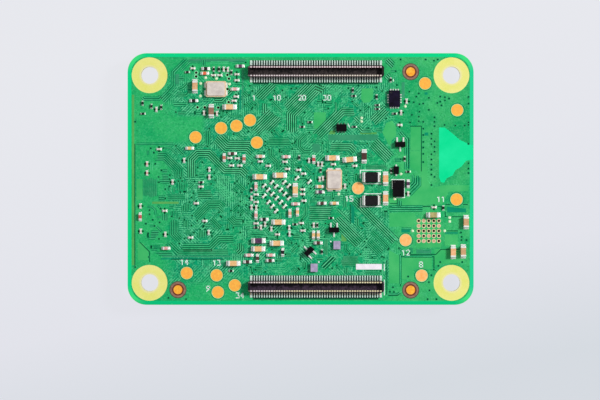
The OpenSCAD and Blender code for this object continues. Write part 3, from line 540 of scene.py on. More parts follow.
def offset_path(points, distance):
    """The path moved to its left, with mitred corners."""
    out = []
    last = len(points) - 1
    for i, (x, y) in enumerate(points):
        before = unit(points[i - 1], points[i]) if i > 0 else None
        after = unit(points[i], points[i + 1]) if i < last else None
        a = before or after
        b = after or before
        nx, ny = -(a[1] + b[1]), a[0] + b[0]
        size = math.hypot(nx, ny)
        nx, ny = nx / size, ny / size
        stretch = distance / max(0.35, nx * -a[1] + ny * a[0])
        out.append((x + nx * stretch, y + ny * stretch))
    return out


class Body:
    """Collects faces in mm for one piece of the scene, which rides on the module."""

    def __init__(self):
        self.verts, self.faces = [], []

    def piece(self, name, material, slot="solder_mask", replaced=None, face_mats=None):
        mesh = bpy.data.meshes.new(name)
        mesh.from_pydata([(x * MM, y * MM, z * MM) for x, y, z in self.verts], [], self.faces)
        for key in [material] if isinstance(material, str) else material:
            mesh.materials.append(MATS[key])
        if face_mats:
            mesh.polygons.foreach_set("material_index", face_mats)
        mesh.update()
        made = bpy.data.objects.new(name, mesh)
        bpy.context.scene.collection.objects.link(made)
        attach(made, "root")
        if replaced:
            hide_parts(replaced)


class Sheet(Body):
    """Flat shapes for a side of the board, all of one height but for discs that give their own;
    up is +1 or -1."""

    def __init__(self, height, up=1):
        super().__init__()
        self.height = height
        self.up = up
        self.base = TOP_Z if up > 0 else BACK_Z

    def point(self, x, y, h):
        self.verts.append((x, y, self.base + self.up * h))

    def face(self, *ring):
        self.faces.append(ring if self.up > 0 else ring[::-1])

    def ribbon(self, path, width):
        """A raised strip along a path, with sloping sides and ends."""
        path = [q for i, q in enumerate(path) if i == 0 or math.dist(q, path[i - 1]) > 1e-4]
        if len(path) < 2:
            return
        start = len(self.verts)
        lines = [offset_path(path, d) for d in (width / 2 + SLOPE, width / 2, -width / 2, -width / 2 - SLOPE)]
        for i in range(len(path)):
            for line, top in zip(lines, (0.0, self.height, self.height, 0.0)):
                self.point(*line[i], top)
        end = len(self.verts) - 4
        for k in range(start, end, 4):
            for j in range(k, k + 3):
                self.face(j, j + 1, j + 5, j + 4)
        self.face(start, start + 3, start + 2, start + 1)
        self.face(end + 1, end + 2, end + 3, end)

    def plate(self, outline):
        """A raised polygon, given anticlockwise, with sloping sides."""
        closed = [outline[-1], *outline, *outline[:2]]
        inner = offset_path(closed, SLOPE)[1:len(outline) + 1]
        start, n = len(self.verts), len(outline)
        for ring, h in ((outline, 0.0), (inner, self.height)):
            for x, y in ring:
                self.point(x, y, h)
        for i in range(n):
            j = (i + 1) % n
            self.face(start + i, start + j, start + n + j, start + n + i)
        self.face(*range(start + n, start + 2 * n))

    def disc(self, x, y, r, inner=0.0, sides=14, height=None):
        """A raised disc, or a ring when it has an inner radius."""
        start = len(self.verts)
        height = height or self.height
        rings = [(r, 0.0), (r - DISC_SLOPE, height)]
        if inner:
            rings += [(inner + DISC_SLOPE, height), (inner, 0.0)]
        for radius, top in rings:
            for i in range(sides):
                a = 2 * math.pi * i / sides
                self.point(x + radius * math.cos(a), y + radius * math.sin(a), top)
        for k in range(start, start + sides * (len(rings) - 1), sides):
            for i in range(sides):
                j = (i + 1) % sides
                self.face(k + i, k + j, k + sides + j, k + sides + i)
        if not inner:
            self.face(*range(start + sides, start + 2 * sides))


def outline_of(area):
    """The corners of an area, which is an outline or the four numbers of a rectangle."""
    if isinstance(area, list):
        return area
    x0, y0, x1, y1 = area
    return [(x0, y0), (x1, y0), (x1, y1), (x0, y1)]


# Areas whose copper gives another green: outlines, anticlockwise, or rectangles
FIELDS = {
    "leaf": [
        [(17.45, 4.4), (17.45, 1.9), (19.1, 0.9), (19.1, -1.1), (17.4, -2.9), (16.1, -3.1), (16.1, -4.2),
         (22.5, -4.0), (23.6, -2.0), (26.6, -1.9), (26.8, -1.0), (22.6, -1.0), (20.9, -1.4), (20.2, 0.0),
         (20.1, 4.4)], [(14.05, -16.6), (15.7, -16.6), (15.7, -12.2), (14.05, -11.3)],
        [(16.05, -15.9), (18.0, -16.0), (18.0, -14.3), (20.9, -14.3), (20.9, -12.5), (16.05, -12.5)],
        (17.5, 4.6, 19.2, 8.3),
        [(9.7, 14.4), (9.6, 12.7), (10.0, 12.1), (11.0, 12.2), (11.5, 12.9), (11.6, 14.4)],
        [(2.1, 8.0), (3.0, 8.0), (4.0, 9.4), (4.0, 10.6), (2.1, 10.6)],
        [(-25.9, -12.9), (-24.2, -12.9), (-24.2, -11.4), (-25.1, -10.2), (-25.9, -10.2)],
        [(14.1, -7.6), (15.3, -7.6), (18.2, -7.3), (18.2, -5.4), (14.1, -5.4)], (18.3, -10.9, 22.4, -6.3),
        [(21.3, -13.7), (22.3, -13.6), (24.0, -13.35), (26.0, -13.3), (26.0, -11.1), (21.3, -11.1)],
        (14.1, -4.1, 16.0, -3.2), (-26.1, -3.3, -25.1, 0.0), (22.9, -10.6, 25.0, -8.9),
        [(14.3, 5.3), (14.5, 6.2), (15.2, 6.9), (15.2, 8.2), (14.6, 9.3), (13.6, 8.9), (13.0, 7.4),
         (13.9, 5.6)],
    ],
    "olive": [
        (-26.82, -13.7, -26.45, 13.4), (9.5, 7.12, 12.1, 7.42),
        [(4.4, 7.12), (5.5, 7.12), (5.5, 7.7), (4.8, 7.7)], (-23.6, -3.95, -19.4, -3.6),
        [(7.1, -8.6), (7.3, -9.9), (6.5, -9.9), (6.5, -8.4)],
    ],
    "greyed": [
        [(-18.0, 18.62), (-8.7, 18.62), (-8.7, 19.08), (-17.6, 19.08)], (-20.0, 15.1, -19.3, 16.7),
        (4.4, 6.15, 12.3, 7.05),
        [(2.2, 4.2), (2.8, 4.2), (3.15, 4.55), (3.15, 5.3), (2.8, 5.65), (2.2, 5.65), (1.86, 5.3),
         (1.86, 4.55)], (2.1, -3.3, 6.3, -2.7), (-9.35, 11.3, -9.05, 17.4), (16.05, 12.9, 16.55, 15.4),
        (18.4, -11.85, 20.8, -11.2), (-22.0, -12.45, -11.2, -12.2),
    ],
    "teal": [
        (-22.2, -12.8, -12.4, -12.56), (-9.75, 11.0, -9.45, 14.2),
        [(8.05, -7.0), (8.55, -7.0), (8.55, -4.4), (8.05, -4.0)],
        [(17.0, 1.7), (17.32, 1.7), (17.32, 6.2), (17.0, 6.5)], (19.7, 6.9, 20.3, 7.4),
        (16.0, -8.5, 17.4, -8.0), (22.95, -8.7, 25.0, -8.45),
        [(23.3, -5.3), (26.3, -5.3), (26.3, -4.7), (23.3, -4.4)], (19.7, 13.4, 20.2, 13.8),
        (4.0, -5.4, 4.9, -5.0),
    ],
    "bare_green": [
        [(22.0, 0.3), (22.3, -0.5), (22.8, -0.6), (23.2, 0.1), (24.2, 0.6), (24.6, 1.4), (25.6, 2.0),
         (26.3, 2.9), (27.44, 3.1), (27.44, 5.3), (26.2, 5.8), (25.2, 6.3), (24.2, 7.2), (22.9, 8.2),
         (22.0, 8.2)],
    ],
}

# Pitch of the bundles that follow the photograph and of the filler, widths of their lines, what
# the gaps are wider than the pitch, and width of the dark lines
PITCH, FINE = 0.32, 0.28
LINE, FINE_LINE = 0.14, FINE * 0.42
GAP_MORE, DARK_LINE = 0.04, 0.13

# Bundles that start between these X are drawn strong
STRONG_FROM, STRONG_TO = -18, 13.5

# Filler: lengths of its straight runs, how many runs and how long a path at least, and the shares
# of bundles with gaps and of lanes with vias
RUNS = (0.6, 1.0, 1.6, 2.4)
MOST_RUNS, SHORTEST = 7, 0.7
GAP_SHARE, VIA_SHARE = 0.7, 0.5
VIA_R, EYE_R = 0.21, 0.14

# How many lanes, how many tries and how long at most, for the filler of each side
TOP_TRIES = ((5, 400, 5), (3, 1200, 4), (2, 3000, 4), (1, 8000, 3))
BACK_TRIES = ((8, 500, 10), (5, 1200, 9), (3, 1600, 7), (2, 2600, 6), (1, 6000, 4))

# Bundles of traces: the path of the first, how many follow on its left, and the pitch where it
# isn't PITCH
BUSES = [
    ([(-21.7, 12.1), (-20.3, 13.5)], 4), ([(-20.9, 13.9), (-20.1, 14.7), (-20.1, 16.9), (-18.0, 19.0)], 2),
    ([(-17.6, 19.3), (-8.5, 19.3)], 1), ([(-19.3, 14.1), (-18.6, 14.4), (-18.0, 15.0)], 2),
    ([(-19.6, 13.2), (-18.2, 13.2), (-17.9, 13.5)], 2), ([(-20.4, 11.7), (-18.1, 11.7)], 2),
    ([(-25.2, 12.9), (-24.9, 12.6), (-22.5, 12.6), (-22.1, 13.0)], 2),
    ([(-14.0, 12.3), (-12.5, 12.3), (-10.9, 13.9)], 3), ([(-6.4, 12.3), (-3.9, 14.8)], 5),
    ([(-5.6, 10.2), (-5.6, 12.2)], 2), ([(3.1, 6.4), (6.9, 10.2), (8.6, 10.2)], 4),
    ([(1.84, 6.97), (5.64, 10.77), (5.64, 12.3)], 1), ([(-2.1, 10.85), (2.85, 15.8)], 4),
    ([(-0.8, 7.4), (-0.8, 10.0), (3.9, 14.7)], 5), ([(-6.9, 6.9), (-3.7, 10.1)], 6),
    ([(-5.1, 7.4), (-2.9, 9.6)], 3), ([(9.5, 9.2), (8.75, 9.95)], 2),
    ([(11.3, 7.8), (9.9, 7.8), (9.3, 8.4)], 2), ([(11.9, 8.6), (14.1, 10.8)], 5),
    ([(9.0, 4.7), (8.1, 5.6), (4.6, 5.6)], 4), ([(10.9, 5.4), (13.7, 2.6)], 6),
    ([(10.2, 1.75), (13.9, 1.75)], 2), ([(5.7, -4.6), (8.0, -6.9)], 1), ([(8.0, -3.5), (14.9, -10.4)], 4),
    ([(4.9, -6.9), (8.8, -10.8)], 6), ([(1.3, -6.4), (5.0, -6.4)], 7),
    ([(19.0, 0.6), (19.0, -1.0), (17.4, -2.6), (16.9, -2.75)], 1),
    ([(17.2, -2.2), (18.6, -0.8), (18.6, 0.6)], 3, 0.36), ([(14.1, -5.0), (19.6, -5.0)], 3),
    ([(15.85, -4.4), (15.85, -3.1)], 2, 0.35), ([(15.9, -7.9), (17.7, -7.9)], 1),
    ([(14.0, -8.4), (16.3, -10.7)], 1), ([(15.87, -17.0), (15.87, -11.9)], 1),
    ([(21.0, -12.3), (16.4, -12.3)], 1), ([(-20.8, -9.8), (-19.3, -11.3), (-11.2, -11.3)], 3, -PITCH),
    ([(-18.9, -10.4), (-14.6, -10.4), (-13.2, -9.0), (-10.6, -9.0)], 4, -PITCH),
    ([(-24.9, 0.2), (-24.9, -3.0)], 7), ([(-16.6, -2.9), (-14.0, -2.9)], 4),
    ([(-21.4, -3.2), (-18.2, -3.2)], 3),
    ([(-16.9, 0.2), (-16.9, 2.88), (-16.2, 3.58), (-14.78, 3.58), (-12.2, 1.0), (-9.6, 1.0),
     (-8.8, 0.2)], 4), ([(-14.0, 6.3), (-12.1, 4.4), (-8.7, 4.4), (-8.0, 3.7)], 6),
    ([(17.0, 0.8), (17.0, 6.3), (15.9, 7.6)], 2), ([(-26.3, 5.6), (-20.0, 5.6)], 1),
    ([(9.3, -12.4), (6.4, -12.4)], 5), ([(4.2, -12.1), (4.2, -9.4)], 3),
    ([(3.6, -14.4), (5.6, -12.4)], 2, 0.45), ([(-9.8, -12.0), (-9.2, -11.4), (-9.2, -10.2)], 3),
    ([(2.5, 15.0), (2.5, 13.6)], 4), ([(14.0, -18.3), (15.5, -18.3), (15.8, -18.0)], 1),
    ([(13.3, 19.0), (14.6, 17.7)], 3), ([(13.4, 16.3), (13.9, 15.8)], 3),
]

# Gaps between planes, which show as thin dark lines
DARK_LINES = [
    [(15.87, -17.0), (15.87, -11.9)], [(15.87, -12.35), (21.2, -12.35), (21.2, -14.4), (21.9, -14.9)],
    [(16.4, -11.5), (17.0, -12.0), (21.5, -12.0), (22.3, -11.2), (25.8, -11.2)],
    [(26.75, -5.0), (26.75, -14.4)], [(-26.35, 5.6), (-26.35, -13.8)], [(12.6, -19.2), (13.9, -19.2)],
    [(13.9, -18.5), (15.4, -18.5), (15.8, -18.1)], [(13.7, -12.9), (13.7, -18.4)],
    [(17.2, 1.4), (17.2, 6.6)], [(14.1, -4.35), (22.6, -4.35), (22.9, -4.05), (26.7, -4.05)],
    [(14.1, -3.9), (15.4, -3.9), (15.4, -3.2)], [(23.0, -5.2), (23.0, -6.0), (26.5, -6.0)],
    [(22.5, -8.25), (25.0, -8.25)], [(-20.6, -12.75), (-12.2, -12.75)],
    [(17.4, 8.4), (19.2, 8.4), (19.2, 1.2)], [(-25.5, -10.1), (-24.0, -11.6), (-24.0, -13.2)],
    [(20.0, 13.9), (20.0, 15.9)], [(7.9, -7.2), (7.9, -4.0)], [(-9.9, 10.9), (-9.9, 14.6)],
]

# Rectangles without filler, which show the plane and a few vias only
QUIET = [
    (-27.0, 5.9, -15.5, 10.1), (-27.0, -20.0, -8.6, -12.9), (-27.0, -13.0, -24.6, 6.0),
    (-27.0, 10.4, -20.5, 20.0), (15.5, 9.0, 27.2, 19.0), (17.4, -0.5, 27.2, 9.0),
    (13.7, -19.2, 27.2, -12.0), (21.5, -12.0, 27.2, -5.0), (14.0, -8.0, 18.3, -5.5),
    (17.0, -4.3, 27.0, 0.0), (1.8, 4.1, 3.2, 5.7), (4.4, 6.15, 12.3, 7.05),
]

# Vias that stitch the planes together: rows at one X each, and loose ones
STITCH_ROWS = {
    19.5: (9.1, 8.0, 7.0, 5.9, 5.0, 4.0, 2.7), 20.8: (7.2, 6.4, 5.55, 3.95, 3.1, 2.3, 1.5, 0.7, -0.95),
    21.3: (9.8, 9.1, 8.4, 6.0, 5.1, 4.35, 0.35), 26.7: (12.0, 13.05, 9.0, 8.6, 5.6, 2.5, 1.65, 0.95),
}
STITCHES = [(x, y) for x, row in STITCH_ROWS.items() for y in row] + [
    (22.2, 13.1), (22.95, 13.0), (22.2, 12.3), (22.95, 12.5), (21.75, 12.1), (20.4, 12.9), (23.6, 12.8),
    (22.4, 11.7), (17.7, 10.2), (18.8, 9.9), (17.4, 9.0), (18.8, 9.2), (17.3, 12.3), (18.0, 12.2),
    (18.9, 11.9), (19.5, 12.0), (18.4, 13.1), (17.3, 13.9), (18.8, 13.6), (20.4, 11.0), (18.9, 10.7),
    (15.9, 19.0), (19.9, 19.0), (21.2, 18.8), (21.8, 19.0), (14.7, -17.2), (14.2, -17.9), (14.85, -17.95),
    (17.1, -15.5), (20.5, -17.7), (20.2, -19.1), (21.6, -19.1), (20.4, -16.4), (21.2, -14.4), (20.8, -15.3),
    (21.9, -13.8), (22.2, -13.2), (25.7, -13.2), (25.6, -9.2), (25.6, -9.7), (26.4, -9.7), (25.5, -8.5),
    (24.6, 8.5), (26.1, 8.5), (22.9, 8.6), (-26.3, 9.1), (-26.3, -14.0), (-18.2, -19.1), (-24.1, -12.4),
    (-21.0, -18.9), (-24.0, -4.95), (-24.0, -5.6), (-22.4, -6.9), (-23.5, -6.5),
]


class Grid:
    """Which places on one side of the board are taken, in cells of 0.1 mm."""

    CELL = 0.1

    def __init__(self, names, margin):
        self.nx, self.ny = int(BOARD_L / self.CELL), int(BOARD_W / self.CELL)
        xs = (np.arange(self.nx) + 0.5) * self.CELL - BOARD_L / 2
        ys = (np.arange(self.ny) + 0.5) * self.CELL - BOARD_W / 2
        self.x, self.y = np.meshgrid(xs, ys, indexing="ij")
        self.used = (abs(self.x) > BOARD_L / 2 - 0.8) | (abs(self.y) > BOARD_W / 2 - 0.8)
        for sx, sy in product((-1, 1), repeat=2):
            self.block_disc(sx * HOLE_X, sy * HOLE_Y, 3.05)
        for name in names:
            for solid in solids(name):
                self.block_box(*(solid.lo[:2] - margin), *(solid.hi[:2] + margin))

    def block_disc(self, x, y, r):
        self.used |= (self.x - x) ** 2 + (self.y - y) ** 2 < r * r

    def block_box(self, x0, y0, x1, y1):
        self.used |= (self.x > x0) & (self.x < x1) & (self.y > y0) & (self.y < y1)

    def block_outline(self, outline):
        xs, ys = zip(*outline)
        self.block_box(min(xs), min(ys), max(xs), max(ys))

    def samples(self, path, half):
        px, py = [], []
        for p, q in zip(path, path[1:]):
            ux, uy = unit(p, q)
            steps = max(1, int(math.dist(p, q) / self.CELL))
            for i in range(steps + 1):
                t = math.dist(p, q) * i / steps
                for k in np.arange(-half, half + 0.05, self.CELL):
                    px.append(p[0] + ux * t - uy * k)
                    py.append(p[1] + uy * t + ux * k)
        ix = ((np.array(px) + BOARD_L / 2) / self.CELL).astype(int)
        iy = ((np.array(py) + BOARD_W / 2) / self.CELL).astype(int)
        return ix, iy, (ix >= 0) & (ix < self.nx) & (iy >= 0) & (iy < self.ny)

    def block_path(self, path, half):
        ix, iy, ok = self.samples(path, half)
        self.used[ix[ok], iy[ok]] = True

    def free(self, path, half):
        ix, iy, ok = self.samples(path, half)
        return ok.all() and not self.used[ix, iy].any()

    def free_at(self, x, y, half):
        return self.free([(x, y), (x + 0.01, y)], half)


def wander(grid, rng, lanes, length):
    """A path for a bundle through free places, which turns by 45 degrees at a time."""
    half = (lanes - 1) * FINE / 2 + 0.2
    x = rng.uniform(-BOARD_L / 2 + 1, BOARD_L / 2 - 1)
    y = rng.uniform(-BOARD_W / 2 + 1, BOARD_W / 2 - 1)
    turn = rng.randrange(8)
    path = [(x, y)]
    total = 0.0
    for _ in range(MOST_RUNS):
        run = rng.choice(RUNS) + lanes * FINE * 0.5
        bend = rng.choice((-1, 1))
        x, y = path[-1]
        for change in ((bend, 0, -bend) if rng.random() < 0.5 else (0, bend, -bend)):
            a = (turn + change) * math.pi / 4
            q = (x + math.cos(a) * run, y + math.sin(a) * run)
            if grid.free([(x, y), q], half):
                turn = (turn + change) % 8
                path.append(q)
                total += run
                break
        else:
            break
        if total > length:
            break
    return path if total > SHORTEST else None


def trim(path, rng, most=0.7):
    """The path with a random length off each end, where it is long enough."""
    path = list(path)
    for _ in range(2):
        path.reverse()
        size = math.dist(path[0], path[1])
        if size > 1.2:
            u = unit(path[0], path[1])
            cut = rng.uniform(0, min(most, size - 0.6))
            path[0] = (path[0][0] + u[0] * cut, path[0][1] + u[1] * cut)
    return path


def route(grid, rng, gap, light, tries):
    """Fills the free places with bundles, wide ones first, and returns where their vias go."""
    vias = []
    for lanes, attempts, length in tries:
        for _ in range(attempts):
            path = wander(grid, rng, lanes, length)
            if not path:
                continue
            grid.block_path(path, lanes * FINE / 2)
            first = offset_path(path, -(lanes - 1) * FINE / 2)
            open_mask = rng.random() < GAP_SHARE
            for k in range(lanes):
                lane = offset_path(first, k * FINE)
                line = trim(lane, rng)
                if open_mask:
                    gap.ribbon(line, FINE + GAP_MORE)
                light.ribbon(line, FINE_LINE)
                if rng.random() < VIA_SHARE:
                    end = lane[rng.choice((0, -1))]
                    vias.append((end[0] + rng.uniform(-0.05, 0.05), end[1] + rng.uniform(-0.05, 0.05)))
    return vias


def runs(grid, path, half=0.06):
    """The stretches of a path that lie on free places."""
    kept, run = [], []
    for p, q in zip(path, path[1:]):
        steps = max(1, int(math.dist(p, q) / 0.12))
        for i in range(steps + 1):
            t = i / steps
            point = (p[0] + (q[0] - p[0]) * t, p[1] + (q[1] - p[1]) * t)
            if grid.free_at(*point, half):
                run.append((point, i in (0, steps)))
            else:
                kept.append(run)
                run = []
    kept.append(run)
    for run in kept:
        if len(run) > 3:
            yield [run[0][0]] + [point for point, corner in run[1:-1] if corner] + [run[-1][0]]


def draw_vias(ring, eye, spots):
    for x, y in spots:
        ring.disc(x, y, VIA_R)
        eye.disc(x, y, EYE_R, sides=12)


CHIP_NODES = [stem + end for stem in ("large_chip", "medium_chip", "small_capacitor", "resistor")
              for end in ("_bodies", "_ends")]
HEADER_NODES = [f"header_{side}_{part}" for side in "ab" for part in ("housing", "contacts", "tabs")]
TOP_NODES = CHIP_NODES + HEADER_NODES + [
    "test_pads", "fiducial_pads", "via_rings", "solder_dots", "switch_chip", "switch_chip_lands",
    "logic_chip", "regulator", "transistor_bodies", "transistor_leads", "bare_chips", "diode_body",
    "diode_leads", "crystal_bases", "crystal_lands", "inductor_cores", "inductor_ends"]


def dress_top():
    rng = random.Random(7)
    grid, parts = Grid(TOP_NODES, 0.14), Grid(TOP_NODES, 0.05)
    for key, areas in FIELDS.items():
        sheet = Sheet(FIELD_H)
        for outline in map(outline_of, areas):
            sheet.plate(outline)
            if key != "greyed":
                grid.block_outline(outline)
        sheet.piece("copper_" + key, "mask_" + key)
    fiducials = [fiducial.at[:2] for fiducial in solids("fiducial_pads")]
    for x, y in fiducials:
        parts.block_disc(x, y, 1.6)
    gap, light, faint_gap, faint, ring, eye = map(Sheet, (GAP_H, TRACE_H, GAP_H, TRACE_H, VIA_H, EYE_H))
    for path, lanes, *other in BUSES:
        pitch = other[0] if other else PITCH
        grid.block_path(offset_path(path, (lanes - 1) * pitch / 2), abs(pitch) * lanes / 2 + 0.12)
        strong = STRONG_FROM <= path[0][0] <= STRONG_TO
        under, over = (gap, light) if strong else (faint_gap, faint)
        for k in range(lanes):
            for run in runs(parts, offset_path(path, k * pitch)):
                run = trim(run, rng, 0.4)
                under.ribbon(run, abs(pitch) + GAP_MORE)
                over.ribbon(run, LINE)
    for line in DARK_LINES:
        grid.block_path(line, 0.15)
        for run in runs(parts, line):
            gap.ribbon(run, DARK_LINE)
    for x, y in STITCHES:
        grid.block_disc(x, y, 0.3)
    for x, y in fiducials:
        grid.block_disc(x, y, 1.75)
    for box in QUIET:
        grid.block_box(*box)
    vias = route(grid, rng, faint_gap, faint, TOP_TRIES)
    draw_vias(ring, eye, vias + STITCHES)
    # Dark eyes beside each small capacitor: beside the slanted ones they are tented vias; beside the others
    # they are painted shade next to the chip.
    for chip in chips("small_capacitor_bodies", "small_capacitor_ends", 0.12):
        (x, y, _), (ux, uy) = chip.foot, chip.u
        for side in (-1, 1):
            spot = (x - uy * side * 0.34, y + ux * side * 0.34)
            if chip.slanted or parts.free_at(*spot, 0.06):
                eye.disc(*spot, 0.155, sides=12)
    for sheet, name, key in ((gap, "trace_gaps", "mask_gap"), (light, "traces", "mask_trace"),
                             (faint_gap, "faint_gaps", "mask_gap_faint"),
                             (faint, "faint_traces", "mask_trace_faint"),
                             (ring, "tented_vias", "mask_via"), (eye, "via_eyes", "mask_eye")):
        sheet.piece(name, key)


# Pads, rings and ink

DIGITS = {
    "0": [[(0, 0), (0, 1), (0.6, 1), (0.6, 0), (0, 0)]], "1": [[(0.1, 0.8), (0.35, 1), (0.35, 0)]],
    "2": [[(0, 0.85), (0.15, 1), (0.6, 1), (0.6, 0.55), (0, 0), (0.6, 0)]],
    "3": [[(0, 1), (0.6, 1), (0.3, 0.6), (0.6, 0.35), (0.6, 0), (0, 0)]],
    "4": [[(0.45, 0), (0.45, 1), (0, 0.35), (0.6, 0.35)]],
    "5": [[(0.6, 1), (0, 1), (0, 0.55), (0.6, 0.55), (0.6, 0), (0, 0)]],
    "6": [[(0.6, 1), (0, 0.5), (0, 0), (0.6, 0), (0.6, 0.5), (0, 0.5)]],
    "7": [[(0, 1), (0.6, 1), (0.2, 0)]],
    "8": [[(0, 0), (0, 1), (0.6, 1), (0.6, 0), (0, 0)], [(0, 0.5), (0.6, 0.5)]],
    "9": [[(0, 0), (0.6, 0.5), (0.6, 1), (0, 1), (0, 0.5), (0.6, 0.5)]],
}
PAD_NUMBERS = {
    "14": (-19.1, -13.6), "13": (-13.95, -13.7), "9": (-14.95, -17.85), "34": (-10.25, -18.9),
    "12": (16.1, -12.1), "8": (18.9, -14.0), "11": (21.7, -3.6), "15": (7.1, -3.5),
}
INK_LINE = 0.13
INK_LINES = [
    [(9.5, 0.1), (9.5, 1.4), (12.85, 1.4)], [(9.95, -0.75), (12.85, -0.75)],
    [(9.55, -3.0), (9.55, -4.4), (12.9, -4.4)], [(10.1, -2.35), (12.85, -2.35)],
    [(14.4, -0.1), (16.5, -0.1), (16.5, -2.95), (15.2, -2.95)], [(14.57, -0.3), (14.57, -1.6)],
    [(13.3, -16.0), (13.3, -18.5)], [(7.5, 8.8), (7.8, 8.2)], [(13.3, -14.6), (13.3, -13.5)],
    [(14.75, 15.9), (14.75, 15.5)],
]
INK_DOTS = [(14.9, -3.1), (4.8, -9.95), (2.9, -13.2), (14.5, 13.2)]
INK_BAR = (8.8, -14.4, 12.9, -13.5)

# Heights of the numbers, and where number 1 of the header is
PAD_NUMBER_H, HEADER_NUMBER_H = 0.8, 0.75
NUMBER_X, NUMBER_Y, CONTACT_PITCH = -7.35, 12.55, 0.4


def number(sheet, text, x, y, height):
    """Plain digits drawn as strokes."""
    for i, digit in enumerate(text):
        for stroke in DIGITS[digit]:
            for ends in zip(stroke, stroke[1:]):
                a, b = ((x + (i * 0.9 + px) * height, y + py * height) for px, py in ends)
                ux, uy = unit(a, b)
                ends = [(a[0] - ux * 0.05, a[1] - uy * 0.05), (b[0] + ux * 0.05, b[1] + uy * 0.05)]
                sheet.ribbon(ends, INK_LINE)


def draw_ink():
    ink, bar = Sheet(INK_H), Sheet(INK_H)
    for text, (x, y) in PAD_NUMBERS.items():
        number(ink, text, x, y, PAD_NUMBER_H)
    for n in (1, 10, 20, 30):
        x = NUMBER_X + CONTACT_PITCH * (n - 1) - 0.3 * len(str(n))
        number(ink, str(n), x, NUMBER_Y, HEADER_NUMBER_H)
    for line in INK_LINES:
        ink.ribbon(line, INK_LINE)
    for x, y in INK_DOTS:
        ink.disc(x, y, 0.14)
    bar.plate(outline_of(INK_BAR))
    ink.piece("printed_marks", "ink", None)
    bar.piece("printed_bar", "ink_bar", None)


# Middle and half size of the square grid of open vias, and those of them that are filled
THERMAL_X, THERMAL_Y, THERMAL_HALF = 20.38, -8.25, 2
FULL_VIAS = [(18.78, -7.45), (21.98, -7.45), (18.78, -9.05), (20.38, -9.05), (19.58, -9.85), (21.18, -9.85),
             (19.58, -6.65)]

# Pieces round pads and vias: name, height, material and slot
RINGS = [
    ("pad_rims", 0.012, "mask_light", "solder_mask"), ("pad_outlines", 0.008, "mask_gap", "solder_mask"),
    ("fiducial_rings", 0.006, "bare_ring", "laminate"), ("fiducial_edges", 0.008, "bare_rim", "laminate"),
    ("fiducial_outlines", 0.01, "bare_grey", "laminate"),
    ("thermal_rings", 0.01, "ring_cream", "via_plating"),
    ("filled_vias", 0.008, "ring_plug", "solder"), ("via_bores", 0.008, "bare_black", "via_plating"),
]


def rounds(name):
    """The centre and radius of each solid of a node of discs."""
    for solid in solids(name):
        yield solid.at[0], solid.at[1], (solid.hi[0] - solid.lo[0]) / 2


def draw_rings():
    sheets = {name: Sheet(height) for name, height, _, _ in RINGS}
    for x, y, r in rounds("test_pads"):
        sheets["pad_rims"].disc(x, y, r + 0.07, r - 0.03, 40)
        sheets["pad_outlines"].disc(x, y, r + 0.16, r + 0.06, 40)
    for x, y, r in rounds("fiducial_pads"):
        sheets["fiducial_rings"].disc(x, y, r + 0.22, r - 0.02, 40)
        sheets["fiducial_edges"].disc(x, y, r + 0.52, r + 0.2, 40)
        sheets["fiducial_outlines"].disc(x, y, r + 0.64, r + 0.5, 40)
    for x, y, r in rounds("via_rings"):
        thermal = max(abs(x - THERMAL_X), abs(y - THERMAL_Y)) < THERMAL_HALF
        sheets["thermal_rings" if thermal else "pad_rims"].disc(x, y, r + 0.05, r - 0.08, 18, 0.01)
        # Open bores get a black disc: painted shade inside the hole.
        sheets["filled_vias" if listed((x, y), FULL_VIAS) else "via_bores"].disc(x, y, 0.2)
    for name, _, key, slot in RINGS:
        sheets[name].piece(name, key, slot)


# Solder's profile: how far out, how high and how wide, in shares of the whole
FILLET = ((0.0, 1.0, 0.86), (0.16, 0.62, 0.9), (0.4, 0.3, 0.97), (0.72, 0.12, 1.0), (1.0, 0.06, 0.9))


